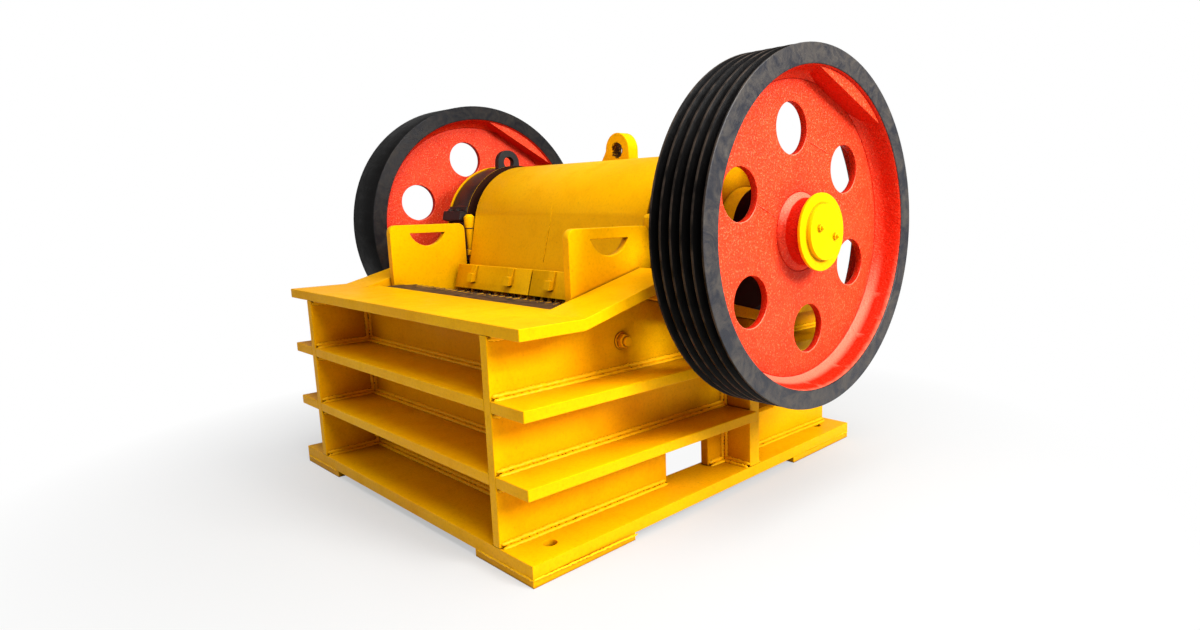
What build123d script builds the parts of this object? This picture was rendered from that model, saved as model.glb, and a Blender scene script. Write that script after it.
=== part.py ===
from build123d import *
import os
from math import atan, cos, degrees, floor, radians, sin, tan

# Jaw crusher with a welded plate frame, a moving jaw hung on an eccentric shaft and two flywheels.
# X runs along the shaft, Y from the feed end (front) to the rear and Z up from the floor.
# Lengths are in millimetres. Every place along Y is counted from the front edge of the frame,
# and save() moves the finished piece so that the origin is under the middle of the machine.

# Frame envelope and plate work
SHAFT_TO_REAR = 666.0
FLANGE_REACH = 146.0
REAR_TAPER = 50.0
PLATE_GAP_HALF = 552.0
SIDE_T = 32.0
REAR_OVERHANG = 35.0
PAD_T = 22.0
PAD_FRONT_LEN = 355.0
PAD_REAR_LEN = 388.0
PAD_WIDTH = 260.0
BASE_T = 38.0
RIB_T = 32.0
RIB_PITCH = 200.0
WALL_FRONT = 200.0
WALL_T = 50.0
REAR_WALL_T = 32.0
BASE_REAR_W = 120.0
BASE_INNER_LAP = 12.0
TOP_SLOPE = 15.0
REAR_TOP = 548.0
STIFF_Y = 900.0
STIFF_T = 50.0
STIFF_REACH = 116.0
ANCHOR_R = 20.0
ANCHOR_INSET_X = 78.0
ANCHOR_INSET_Y = 110.0

# Openings in the side plates
WINDOW_Y = 617.0
WINDOW_LEN = 198.0
WINDOW_H = 130.0
WINDOW_ROUND = 14.0
ACCESS_Y = 1000.0
ACCESS_LEN = 200.0
ACCESS_Z = 187.0
ACCESS_H = 143.0
ACCESS_ROUND = 20.0

# Shaft line and main bearings
SHAFT_Y = 884.0
SHAFT_Z = 854.5
SEAT_TILT = 15.0
SEAT_DEPTH = 240.0
SEAT_HALF = 290.0
HOUSING_STAND = 2.0
HOUSING_W = 136.0
HOUSING_R = 252.0
SEAT_STOP_GAP = 4.0
EAR_T = 38.0
FOOT_T = 35.0
CAP_FOOT_REACH = 11.0
CAP_FOOT_T = 24.0
COVER_LIP = 6.0
END_COVER_T = 10.0
INNER_COVER_T = 5.0
SEAL_R = 137.0
SEAL_LEN = 60.0
JOURNAL_R = 75.0
ECC_R = 90.0
ECC_THROW = 12.0
ECC_ANGLE = 264.6
BEARING_GAP = 0.05
RUN_GAP = 6.0
EYE_INSET = 60.0
EYE_T = 28.0
EYE_R = 51.0
EYE_HOLE_R = 24.0
EYE_RISE = 21.0
EYE_Y_SHIFT = 6.0
EYE_FOOT = 62.0

# Flywheels
WHEEL_R = 525.0
WHEEL_W = 192.0
WHEEL_SIDE_GAP = 73.0
RING_IN_R = 469.0
RIM_ROOT_R = 455.0
WEB_T = 24.0
WEB_SEAT = 0.1
HUB_R = 100.0
HUB_OUT = 80.0
HUB_IN = 100.0
HUB_FLARE = 18.0
RIM_FLARE = 16.0
SHAFT_END_R = 65.0
HOLE_R = 75.0
HOLE_PITCH_R = 302.0
HOLE_COUNT = 6
HOLE_PHASE = 38.5
WEIGHT_CHORD = 428.0
WEIGHT_ANGLE_RIGHT = 68.0
WEIGHT_ANGLE_LEFT = 61.5
WEIGHT_HALF_W = 81.0
GROOVE_COUNT = 5
GROOVE_PITCH = 37.0
GROOVE_TOP = 28.0
GROOVE_ANGLE = 36.0
GROOVE_DEPTH = 24.0
CAP_DISC_R = 114.0
CAP_DISC_T = 10.0
CAP_BOSS_R = 82.0
CAP_BOSS_T = 15.0

# Jaws and crushing chamber
FIXED_ROOT_T = 80.0
TOOTH_DEPTH = 35.0
TOOTH_PITCH = 42.0
TOOTH_CREST = 12.0
FIXED_SIDE_GAP = 5.0
JAW_BOTTOM = 110.0
FIXED_TOP_DROP = 2.0
MOVING_SIDE_GAP = 26.0
MOVING_ROOT_T = 28.0
GAPE_Y = 565.0
GAPE_Z = 660.0
DISCHARGE_GAP = 44.0
MOVING_TOP = 665.0
CHEEK_T = 28.0
CHEEK_Y = 294.0
CHEEK_LEN = 308.0
CHEEK_TOP = 880.0
CHEEK_BOTTOM = 118.0
CHEEK_ROUND = 26.0
GRIP_Y = 443.0
GRIP_Z = 848.0
GRIP_HALF = 71.5
GRIP_DEPTH = 50.0

# Moving jaw casting and its guard
PITMAN_SIDE_GAP = 82.0
BARREL_R = 226.0
ARM_BOTTOM = 96.0
ARM_FOOT_T = 150.0
GUARD_SIDE_GAP = 52.0
GUARD_R = 250.0
GUARD_T = 6.0
GUARD_LOW_Y = 597.0
GUARD_LAP = 20.0
GUARD_BACK_ANGLE = -35.0
SADDLE_T = 26.0
FLAP_TOP_Y = 553.0
FLAP_TOP_Z = 722.0
FLAP_LOW_Z = 633.0
FLAP_T = 10.0
FLAP_SPLIT = 8.0
CLIP_COUNT = 4
CLIP_PITCH = 248.0
CLIP_W = 34.0
CLIP_T = 8.0
CLIP_STEP_T = 20.0
CLIP_STEP = 30.0
CLIP_DROP = 62.0
LUG_Y = 991.0
LUG_T = 50.0
LUG_R = 66.0
LUG_HOLE_R = 28.0
LUG_HOLE_Z = 1147.0
LUG_FLARE = 30.0

# Toggle, behind the moving jaw
BEAM_SETBACK = 148.0
BEAM_T = 120.0
BEAM_Z = 200.0
BEAM_H = 140.0
TOGGLE_T = 36.0
TOGGLE_SIDE_GAP = 152.0
TOGGLE_R = 22.0
TOGGLE_FRONT_Z = 205.0
TOGGLE_REAR_Z = 268.0
TOGGLE_GAP = 42.0

# Bolt that holds each cheek plate, seen on the side plate
CHEEK_BOLT_Y = 459.0
CHEEK_BOLT_Z = 548.0
CHEEK_NUT_R = 28.0
CHEEK_NUT_H = 30.0
CHEEK_WASHER_R = 36.0
CHEEK_WASHER_T = 6.0

# Long clamp bolt beside the guard, on a bracket inside each side plate
CLAMP_SETBACK = 26.0
CLAMP_R = 21.0
CLAMP_WALL_GAP = 4.0
CLAMP_TOP = 914.0
CLAMP_COLLAR_Z = 860.0
CLAMP_NUT_Z = 752.0
CLAMP_NUT_H = 22.0
CLAMP_ROD_R = 12.0
CLAMP_NECK_R = 14.0
BRACKET_TOP = 634.0
BRACKET_T = 30.0
BRACKET_HALF = 20.0

# Levels and faces that follow from the sizes above
FRAME_LEN = SHAFT_Y + SHAFT_TO_REAR
SIDE_END = FRAME_LEN - REAR_OVERHANG
SIDE_OUT = PLATE_GAP_HALF + SIDE_T
FRAME_HALF = SIDE_OUT + FLANGE_REACH
REAR_HALF = FRAME_HALF - REAR_TAPER
BEAM_Y = SIDE_END - REAR_WALL_T - BEAM_SETBACK - BEAM_T
BASE_TOP = PAD_T + BASE_T
LOW_RIB_TOP = BASE_TOP + RIB_PITCH
MID_RIB_TOP = LOW_RIB_TOP + RIB_PITCH
TOP_LEVEL = MID_RIB_TOP + RIB_PITCH
TOP_UNDER = TOP_LEVEL - RIB_T
WALL_BACK = WALL_FRONT + WALL_T
FIXED_HALF = PLATE_GAP_HALF - CHEEK_T - FIXED_SIDE_GAP
MOVING_HALF = PLATE_GAP_HALF - CHEEK_T - MOVING_SIDE_GAP
PITMAN_HALF = PLATE_GAP_HALF - PITMAN_SIDE_GAP
GUARD_HALF = PLATE_GAP_HALF - GUARD_SIDE_GAP
TOGGLE_HALF = PLATE_GAP_HALF - TOGGLE_SIDE_GAP
HOUSING_HALF = SEAT_HALF - SEAT_STOP_GAP
CAP_FOOT_HALF = HOUSING_R + CAP_FOOT_REACH
END_COVER_R = HOUSING_R + COVER_LIP
HOUSING_IN = PLATE_GAP_HALF + HOUSING_STAND
HOUSING_OUT = HOUSING_IN + HOUSING_W
SEAL_END = HOUSING_OUT + END_COVER_T + SEAL_LEN
EYE_X = HOUSING_IN + EYE_INSET
WHEEL_X = FRAME_HALF + WHEEL_SIDE_GAP + WHEEL_W / 2
SEAT_PLATE_LOW = SEAT_DEPTH + RIB_T
ECC_Y = SHAFT_Y + ECC_THROW * cos(radians(ECC_ANGLE))
ECC_Z = SHAFT_Z + ECC_THROW * sin(radians(ECC_ANGLE))
WHEEL_OUT = WHEEL_X + WHEEL_W / 2
HUB_FACE = WHEEL_X + HUB_OUT
HUB_BACK = WHEEL_X - HUB_IN
FIXED_CREST = WALL_BACK + FIXED_ROOT_T + TOOTH_DEPTH
CLAMP_Y = CHEEK_Y + CHEEK_LEN + CLAMP_SETBACK
GUARD_LOW_Z = FLAP_TOP_Z - GUARD_LAP


def block(x0, x1, y0, y1, z0, z1):
    """Square-edged plate or block between two corners."""
    centre = Pos((x0 + x1) / 2, (y0 + y1) / 2, (z0 + z1) / 2)
    return centre * Box(abs(x1 - x0), abs(y1 - y0), abs(z1 - z0))


def side_face(points):
    """Flat outline given as (Y, Z) points."""
    return make_face(Polyline(*points, close=True))


def along_x(outline, x0, x1):
    """Outline in the Y-Z plane, drawn out along the shaft from x0 to x1."""
    return extrude(Plane.YZ.offset(x0) * outline, x1 - x0)


def disc(radius, x0, x1, y=SHAFT_Y, z=SHAFT_Z):
    """Round bar along X."""
    return along_x(Pos(y, z) * Circle(radius), x0, x1)


def other_side(shape):
    """The same piece on the far side of the machine."""
    return mirror(shape, about=Plane.YZ)


def seat_point(u, v):
    """(Y, Z) of a point in the tilted bearing frame: u towards the front, v square to the joint."""
    tilt = radians(SEAT_TILT)
    return (SHAFT_Y - u * cos(tilt) + v * sin(tilt), SHAFT_Z + u * sin(tilt) + v * cos(tilt))


def abutment_point(z_at_bend):
    """Where the sloping flange's line meets the front stop of the bearing seat."""
    y0, z0 = seat_point(SEAT_HALF, 0.0)
    lean = tan(radians(SEAT_TILT))
    rise = tan(radians(TOP_SLOPE))
    z = (z_at_bend + (y0 - z0 * lean - WALL_FRONT) * rise) / (1 - lean * rise)
    return (y0 + (z - z0) * lean, z)


def rear_stop_point(z):
    """Point at height z on the rear stop of the bearing seat."""
    y0, z0 = seat_point(-SEAT_HALF, 0.0)
    return (y0 + (z - z0) * tan(radians(SEAT_TILT)), z)


def anchor_places():
    """Centres of the four anchor bolt holes."""
    front = FRAME_HALF - ANCHOR_INSET_X
    rear = REAR_HALF - ANCHOR_INSET_X
    return [
        (-front, ANCHOR_INSET_Y),
        (front, ANCHOR_INSET_Y),
        (-rear, FRAME_LEN - ANCHOR_INSET_Y),
        (rear, FRAME_LEN - ANCHOR_INSET_Y),
    ]


def anchor_holes():
    """Round cutters for the anchor bolts, through the base flange and the pads."""
    return [Pos(x, y, BASE_TOP / 2) * Cylinder(ANCHOR_R, 2 * BASE_TOP) for x, y in anchor_places()]


def flange_half(y):
    """Half width of the base flange, which narrows towards the rear."""
    return FRAME_HALF + (REAR_HALF - FRAME_HALF) * y / FRAME_LEN


def base_flange():
    """Flat ring under the whole frame, open in the middle under the jaws."""
    front = flange_half(0.0)
    rear = flange_half(FRAME_LEN)
    points = [(-front, 0.0), (front, 0.0), (rear, FRAME_LEN), (-rear, FRAME_LEN)]
    outline = make_face(Polyline(*points, close=True))
    inner = PLATE_GAP_HALF - BASE_INNER_LAP
    opening = FRAME_LEN - BASE_REAR_W - WALL_BACK
    outline -= Pos(0, WALL_BACK + opening / 2) * Rectangle(2 * inner, opening)
    plate = extrude(Plane.XY.offset(PAD_T) * outline, BASE_T)
    for hole in anchor_holes():
        plate -= hole
    return plate


def foot_pads(y0, y1):
    """Pair of bearing pads under two corners of the base flange."""
    inner = min(flange_half(y0), flange_half(y1)) - PAD_WIDTH
    points = [(inner, y0), (flange_half(y0), y0), (flange_half(y1), y1), (inner, y1)]
    pad = extrude(make_face(Polyline(*points, close=True)), PAD_T)
    for hole in anchor_holes():
        pad -= hole
    return [pad, other_side(pad)]


def side_plate():
    """Right-hand side plate, from the front post to the rear, with its bearing notch and openings."""
    outline = [
        (0.0, BASE_TOP),
        (0.0, TOP_UNDER),
        (WALL_FRONT, TOP_UNDER),
        abutment_point(TOP_UNDER),
        seat_point(SEAT_HALF, -SEAT_PLATE_LOW),
        seat_point(-SEAT_HALF, -SEAT_PLATE_LOW),
        rear_stop_point(REAR_TOP),
        (SIDE_END, REAR_TOP),
        (SIDE_END, BASE_TOP),
    ]
    face = side_face(outline)
    window = Rectangle(WINDOW_LEN, 2 * WINDOW_H)
    window = fillet(window.vertices(), WINDOW_ROUND)
    face -= Pos(WINDOW_Y + WINDOW_LEN / 2, BASE_TOP) * window
    access = Rectangle(ACCESS_LEN, ACCESS_H)
    access = fillet(access.vertices(), ACCESS_ROUND)
    face -= Pos(ACCESS_Y + ACCESS_LEN / 2, ACCESS_Z + ACCESS_H / 2) * access
    return along_x(face, PLATE_GAP_HALF, SIDE_OUT)


def top_flange():
    """Level front strip of the top flange with a strip that rises on each side to the bearing seat."""
    wide = block(-FRAME_HALF, FRAME_HALF, 0.0, WALL_FRONT, TOP_UNDER, TOP_LEVEL)
    inner = block(-PLATE_GAP_HALF, PLATE_GAP_HALF, WALL_FRONT, WALL_BACK, TOP_UNDER, TOP_LEVEL)
    outline = [
        (WALL_FRONT, TOP_UNDER),
        (WALL_FRONT, TOP_LEVEL),
        abutment_point(TOP_LEVEL),
        abutment_point(TOP_UNDER),
    ]
    slope = along_x(side_face(outline), PLATE_GAP_HALF, FRAME_HALF)
    return wide + inner + slope + other_side(slope)


def top_flange_rear_side():
    """Level strip of the top flange behind the bearing seat."""
    top = REAR_TOP + RIB_T
    outline = [rear_stop_point(REAR_TOP), rear_stop_point(top), (SIDE_END, top), (SIDE_END, REAR_TOP)]
    return along_x(side_face(outline), PLATE_GAP_HALF, REAR_HALF)


def bearing_seat():
    """Tilted plate in the notch, on which the bearing housing stands."""
    outline = [
        seat_point(SEAT_HALF, -SEAT_PLATE_LOW),
        seat_point(SEAT_HALF, -SEAT_DEPTH),
        seat_point(-SEAT_HALF, -SEAT_DEPTH),
        seat_point(-SEAT_HALF, -SEAT_PLATE_LOW),
    ]
    return along_x(side_face(outline), PLATE_GAP_HALF, FRAME_HALF)


def seat_underside(y):
    """Height of the underside of the bearing seat plate at a place along Y."""
    y0, z0 = seat_point(0.0, -SEAT_PLATE_LOW)
    return z0 - (y - y0) * tan(radians(SEAT_TILT))


def stiffeners():
    """Upright stiffener outside the side plate, in two lengths below and above the middle rib."""
    reach = SIDE_OUT + STIFF_REACH
    low = block(SIDE_OUT, reach, STIFF_Y, STIFF_Y + STIFF_T, BASE_TOP, MID_RIB_TOP - RIB_T)
    back = STIFF_Y + STIFF_T
    outline = [
        (STIFF_Y, MID_RIB_TOP),
        (STIFF_Y, seat_underside(STIFF_Y)),
        (back, seat_underside(back)),
        (back, MID_RIB_TOP),
    ]
    high = along_x(side_face(outline), SIDE_OUT, reach)
    return [low, high]


def tilted_block(u_half, v0, v1, x0, x1):
    """Block in the tilted bearing frame."""
    corners = [seat_point(u_half, v0), seat_point(u_half, v1), seat_point(-u_half, v1), seat_point(-u_half, v0)]
    return along_x(side_face(corners), x0, x1)


def housing_lower():
    """Lower half of the right-hand bearing housing."""
    body = disc(HOUSING_R, HOUSING_IN, HOUSING_OUT)
    body &= tilted_block(HOUSING_R + EAR_T, -SEAT_DEPTH, 0.0, HOUSING_IN, HOUSING_OUT)
    body += tilted_block(HOUSING_HALF, -EAR_T, 0.0, HOUSING_IN, HOUSING_OUT)
    body += tilted_block(HOUSING_HALF, -SEAT_DEPTH, FOOT_T - SEAT_DEPTH, HOUSING_IN, HOUSING_OUT)
    return body - disc(JOURNAL_R + BEARING_GAP, HOUSING_IN, HOUSING_OUT)


def housing_cap():
    """Upper half of the right-hand bearing housing, a half ring on two feet."""
    body = disc(HOUSING_R, HOUSING_IN, HOUSING_OUT)
    body &= tilted_block(HOUSING_R + EAR_T, 0.0, HOUSING_R + EAR_T, HOUSING_IN, HOUSING_OUT)
    body += tilted_block(CAP_FOOT_HALF, 0.0, CAP_FOOT_T, HOUSING_IN, HOUSING_OUT)
    return body - disc(JOURNAL_R + BEARING_GAP, HOUSING_IN, HOUSING_OUT)


def bearing_covers():
    """Round covers on both ends of the right-hand bearing, with the seal housing on the outer one."""
    outer = disc(END_COVER_R, HOUSING_OUT, HOUSING_OUT + END_COVER_T)
    inner = disc(END_COVER_R, HOUSING_IN - INNER_COVER_T, HOUSING_IN)
    below = tilted_block(2 * END_COVER_R, -2 * END_COVER_R, -SEAT_DEPTH, HOUSING_IN - INNER_COVER_T, SEAL_END)
    covers = [outer - below, inner - below]
    covers[0] += disc(SEAL_R, HOUSING_OUT + END_COVER_T, SEAL_END)
    hole = disc(JOURNAL_R + RUN_GAP, HOUSING_IN - INNER_COVER_T, SEAL_END)
    return [cover - hole for cover in covers]


def cap_eye():
    """Flat lifting eye on top of the right-hand bearing cap."""
    y = SHAFT_Y - EYE_Y_SHIFT
    z = SHAFT_Z + HOUSING_R + EYE_RISE
    foot = make_face(Polyline(
        (y - EYE_R, z), (y + EYE_R, z), (y + EYE_FOOT, SHAFT_Z + JOURNAL_R), (y - EYE_FOOT, SHAFT_Z + JOURNAL_R),
        close=True,
    ))
    outline = foot + Pos(y, z) * Circle(EYE_R) - Pos(y, z) * Circle(EYE_HOLE_R)
    eye = along_x(outline, EYE_X - EYE_T / 2, EYE_X + EYE_T / 2)
    return eye - disc(HOUSING_R, EYE_X - EYE_T, EYE_X + EYE_T)


def clamp_bolt():
    """Right-hand long clamp bolt with its bracket: neck, nut, tapering sleeve, collar and round head."""
    x = PLATE_GAP_HALF - CLAMP_WALL_GAP - CLAMP_R
    low = BRACKET_TOP
    nut_top = CLAMP_NUT_Z + CLAMP_NUT_H
    dome = CLAMP_TOP - CLAMP_R / 2
    profile = make_face(Polyline(
        (0, low), (CLAMP_ROD_R, low), (CLAMP_ROD_R, CLAMP_NUT_Z), (CLAMP_R, CLAMP_NUT_Z), (CLAMP_R, nut_top),
        (CLAMP_NECK_R, nut_top), (CLAMP_R, CLAMP_COLLAR_Z), (CLAMP_R, dome), (CLAMP_R / 2, CLAMP_TOP),
        (0, CLAMP_TOP), close=True,
    ))
    bolt = revolve(Plane.XZ * profile, Axis.Z, 360)
    bracket = block(x - CLAMP_R, PLATE_GAP_HALF, -BRACKET_HALF, BRACKET_HALF, low - BRACKET_T, low)
    return Pos(0, CLAMP_Y, 0) * (Pos(x, 0, 0) * bolt + bracket)


def cheek_plate():
    """Right-hand side liner of the chamber, which stands up as a guard with a half-moon grip hole."""
    plate = Pos(CHEEK_Y + CHEEK_LEN / 2, (CHEEK_TOP + CHEEK_BOTTOM) / 2)
    outline = plate * Rectangle(CHEEK_LEN, CHEEK_TOP - CHEEK_BOTTOM)
    upper = outline.vertices().group_by(Axis.Y)[-1]
    outline = fillet(upper, CHEEK_ROUND)
    grip_r = (GRIP_HALF ** 2 + GRIP_DEPTH ** 2) / (2 * GRIP_DEPTH)
    grip = Pos(GRIP_Y, GRIP_Z - GRIP_DEPTH + grip_r) * Circle(grip_r)
    grip &= Pos(GRIP_Y, GRIP_Z - GRIP_DEPTH) * Rectangle(4 * GRIP_HALF, 2 * GRIP_DEPTH)
    return along_x(outline - grip, PLATE_GAP_HALF - CHEEK_T, PLATE_GAP_HALF)


def cheek_bolt():
    """Nut and washer of the right-hand cheek plate's bolt, outside the side plate."""
    washer = disc(CHEEK_WASHER_R, SIDE_OUT, SIDE_OUT + CHEEK_WASHER_T, CHEEK_BOLT_Y, CHEEK_BOLT_Z)
    nut_face = Pos(CHEEK_BOLT_Y, CHEEK_BOLT_Z) * RegularPolygon(CHEEK_NUT_R, 6)
    nut_start = SIDE_OUT + CHEEK_WASHER_T
    return washer + along_x(nut_face, nut_start, nut_start + CHEEK_NUT_H)


def toothed_outline(half, root, odd):
    """Plan of a jaw plate: back on Y = 0, root at Y = root, teeth with flat crests across the width."""
    rise = (TOOTH_PITCH - 2 * TOOTH_CREST) / 2
    pairs = floor((2 * half - TOOTH_CREST - odd * TOOTH_PITCH) / (2 * TOOTH_PITCH))
    count = 2 * pairs + odd
    start = -count * TOOTH_PITCH / 2
    points = [(-half, 0.0), (-half, root), (start, root)]
    for i in range(count):
        left = start + i * TOOTH_PITCH + TOOTH_CREST / 2
        points.append((left, root))
        points.append((left + rise, root + TOOTH_DEPTH))
        points.append((left + rise + TOOTH_CREST, root + TOOTH_DEPTH))
        points.append((left + 2 * rise + TOOTH_CREST, root))
    points += [(half, root), (half, 0.0)]
    return make_face(Polyline(*points, close=True))


def fixed_jaw_plate():
    """Upright toothed plate on the inside of the front wall."""
    outline = toothed_outline(FIXED_HALF, FIXED_ROOT_T, 0)
    top = TOP_LEVEL - FIXED_TOP_DROP
    return Pos(0, WALL_BACK, JAW_BOTTOM) * extrude(outline, top - JAW_BOTTOM)


def jaw_lean():
    """Angle of the moving jaw from upright, from its gape to its discharge gap."""
    run = GAPE_Y - (FIXED_CREST + DISCHARGE_GAP)
    return degrees(atan(run / (GAPE_Z - JAW_BOTTOM)))


def jaw_face_y(z):
    """Y of the moving jaw's crest face at a height."""
    return GAPE_Y - (GAPE_Z - z) * tan(radians(jaw_lean()))


def jaw_back_y(z):
    """Y of the moving jaw plate's back at a height."""
    return jaw_face_y(z) + (MOVING_ROOT_T + TOOTH_DEPTH) / cos(radians(jaw_lean()))


def moving_jaw_plate():
    """Toothed plate on the front of the moving jaw, leaning back from the bottom."""
    outline = toothed_outline(MOVING_HALF, MOVING_ROOT_T, 1)
    length = (MOVING_TOP - JAW_BOTTOM) / cos(radians(jaw_lean()))
    plate = Rot(0, 0, 180) * extrude(outline, length)
    return Pos(0, jaw_back_y(JAW_BOTTOM), JAW_BOTTOM) * Rot(-jaw_lean(), 0, 0) * plate


def guard_path(inset):
    """Outline of the guard, offset inwards: front edge, tangent and round top, as (Y, Z) geometry."""
    radius = GUARD_R - inset
    dy = GUARD_LOW_Y + inset - SHAFT_Y
    dz = GUARD_LOW_Z - SHAFT_Z
    reach = (dy ** 2 + dz ** 2) ** 0.5
    base = degrees(atan(dz / dy)) + 180.0
    touch = radians(base - degrees(atan((reach ** 2 - radius ** 2) ** 0.5 / radius)))
    start = (SHAFT_Y + radius * cos(touch), SHAFT_Z + radius * sin(touch))
    end_angle = radians(GUARD_BACK_ANGLE)
    end = (SHAFT_Y + radius * cos(end_angle), SHAFT_Z + radius * sin(end_angle))
    middle_angle = radians((degrees(touch) + GUARD_BACK_ANGLE) / 2)
    middle = (SHAFT_Y + radius * cos(middle_angle), SHAFT_Z + radius * sin(middle_angle))
    return (GUARD_LOW_Y + inset, GUARD_LOW_Z), start, middle, end


def guard():
    """Rolled sheet guard over the moving jaw's bearing barrel."""
    low, start, middle, end = guard_path(0.0)
    low_in, start_in, middle_in, end_in = guard_path(GUARD_T)
    edges = [
        Line(low, start),
        ThreePointArc(start, middle, end),
        Line(end, end_in),
        ThreePointArc(end_in, middle_in, start_in),
        Line(start_in, low_in),
        Line(low_in, low),
    ]
    return along_x(make_face(edges), -GUARD_HALF, GUARD_HALF)


def saddle(x0, x1):
    """Rib of the moving jaw casting that carries the guard."""
    low, start, middle, end = guard_path(GUARD_T)
    edges = [
        Line(low, start),
        ThreePointArc(start, middle, end),
        Line(end, (ECC_Y, ECC_Z)),
        Line((ECC_Y, ECC_Z), low),
    ]
    return along_x(make_face(edges), x0, x1)


def moving_jaw():
    """Moving jaw casting: bearing barrel, arm down to the toggle seat and guard saddles."""
    foot_y = jaw_back_y(ARM_BOTTOM)
    top_z = MOVING_TOP
    arm = side_face([
        (jaw_back_y(top_z), top_z),
        (ECC_Y, ECC_Z),
        (ECC_Y + BARREL_R * 0.86, ECC_Z - BARREL_R * 0.5),
        (foot_y + ARM_FOOT_T, TOGGLE_FRONT_Z + 2 * TOGGLE_R),
        (foot_y + ARM_FOOT_T, ARM_BOTTOM),
        (foot_y, ARM_BOTTOM),
    ])
    lip = side_face([
        (foot_y, ARM_BOTTOM),
        (jaw_back_y(JAW_BOTTOM), JAW_BOTTOM),
        (jaw_face_y(JAW_BOTTOM) + TOOTH_DEPTH, JAW_BOTTOM),
        (jaw_face_y(ARM_BOTTOM) + TOOTH_DEPTH, ARM_BOTTOM),
    ])
    seat = Pos(foot_y + ARM_FOOT_T, TOGGLE_FRONT_Z) * Circle(TOGGLE_R)
    profile = arm + lip + Pos(ECC_Y, ECC_Z) * Circle(BARREL_R) - seat
    body = along_x(profile, -PITMAN_HALF, PITMAN_HALF)
    for x0 in (-PITMAN_HALF, PITMAN_HALF - SADDLE_T):
        body += saddle(x0, x0 + SADDLE_T)
    return body - disc(ECC_R + BEARING_GAP, -PITMAN_HALF, PITMAN_HALF, ECC_Y, ECC_Z)


def wedge():
    """Clamping bar on the tilted top of the moving jaw plate, which carries the flap."""
    lean = radians(jaw_lean())
    front_top = FLAP_TOP_Y + FLAP_T - GUARD_LAP * tan(lean)
    across = (jaw_back_y(GUARD_LOW_Z) - front_top) * cos(lean)
    outline = [
        (front_top, GUARD_LOW_Z),
        (jaw_back_y(GUARD_LOW_Z), GUARD_LOW_Z),
        (jaw_back_y(MOVING_TOP), MOVING_TOP),
        (jaw_back_y(MOVING_TOP) - across * cos(lean), MOVING_TOP + across * sin(lean)),
    ]
    return along_x(side_face(outline), -MOVING_HALF, MOVING_HALF)


def flap():
    """Two flap strips with a split between them, and the clips that hold them."""
    lean = tan(radians(jaw_lean()))
    low_y = FLAP_TOP_Y - (FLAP_TOP_Z - FLAP_LOW_Z) * lean
    outline = [
        (FLAP_TOP_Y, FLAP_TOP_Z),
        (FLAP_TOP_Y + FLAP_T, FLAP_TOP_Z),
        (low_y + FLAP_T, FLAP_LOW_Z),
        (low_y, FLAP_LOW_Z),
    ]
    strip = along_x(side_face(outline), FLAP_SPLIT / 2, MOVING_HALF)
    clip_low_y = FLAP_TOP_Y - CLIP_DROP * lean
    step_y = FLAP_TOP_Y - CLIP_STEP * lean
    clip = side_face([
        (FLAP_TOP_Y - CLIP_T, FLAP_TOP_Z),
        (FLAP_TOP_Y, FLAP_TOP_Z),
        (clip_low_y, FLAP_TOP_Z - CLIP_DROP),
        (clip_low_y - CLIP_STEP_T, FLAP_TOP_Z - CLIP_DROP),
        (step_y - CLIP_STEP_T, FLAP_TOP_Z - CLIP_STEP),
        (step_y - CLIP_T, FLAP_TOP_Z - CLIP_STEP),
    ])
    strips = [strip, other_side(strip)]
    for i in range(CLIP_COUNT):
        x = (i - (CLIP_COUNT - 1) / 2) * CLIP_PITCH
        side = 0 if x > 0 else 1
        strips[side] += along_x(clip, x - CLIP_W / 2, x + CLIP_W / 2)
    return strips


def lifting_lug():
    """Cast lifting eye on top of the moving jaw."""
    foot = SHAFT_Z + GUARD_R
    eye = Pos(0, LUG_HOLE_Z) * Circle(LUG_R)
    neck = make_face(Polyline(
        (-LUG_R, LUG_HOLE_Z),
        (LUG_R, LUG_HOLE_Z),
        (LUG_R, foot - LUG_R),
        (-LUG_R - LUG_FLARE, foot - LUG_R),
        (-LUG_R - LUG_FLARE, foot),
        close=True,
    ))
    outline = eye + neck - Pos(0, LUG_HOLE_Z) * Circle(LUG_HOLE_R)
    lug = Pos(0, LUG_Y + LUG_T / 2, 0) * Rot(90, 0, 0) * extrude(outline, LUG_T)
    return lug - disc(GUARD_R, -2 * LUG_R, 2 * LUG_R)


def toggle_beam():
    """Cross beam behind the moving jaw with the rear toggle seat."""
    beam = block(-PLATE_GAP_HALF, PLATE_GAP_HALF, BEAM_Y, BEAM_Y + BEAM_T, BEAM_Z, BEAM_Z + BEAM_H)
    return beam - disc(TOGGLE_R, -PLATE_GAP_HALF, PLATE_GAP_HALF, BEAM_Y, TOGGLE_REAR_Z)


def toggle_plate():
    """Toggle plate with a round edge at each end."""
    front_y = jaw_back_y(ARM_BOTTOM) + ARM_FOOT_T + TOGGLE_GAP
    run = BEAM_Y - front_y
    angle = degrees(atan((TOGGLE_REAR_Z - TOGGLE_FRONT_Z) / run))
    length = run / cos(radians(angle))
    web = Pos(length / 2, 0) * Rectangle(length, TOGGLE_T)
    outline = web + Circle(TOGGLE_R) + Pos(length, 0) * Circle(TOGGLE_R)
    return along_x(Pos(front_y, TOGGLE_FRONT_Z) * Rot(0, 0, angle) * outline, -TOGGLE_HALF, TOGGLE_HALF)


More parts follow.
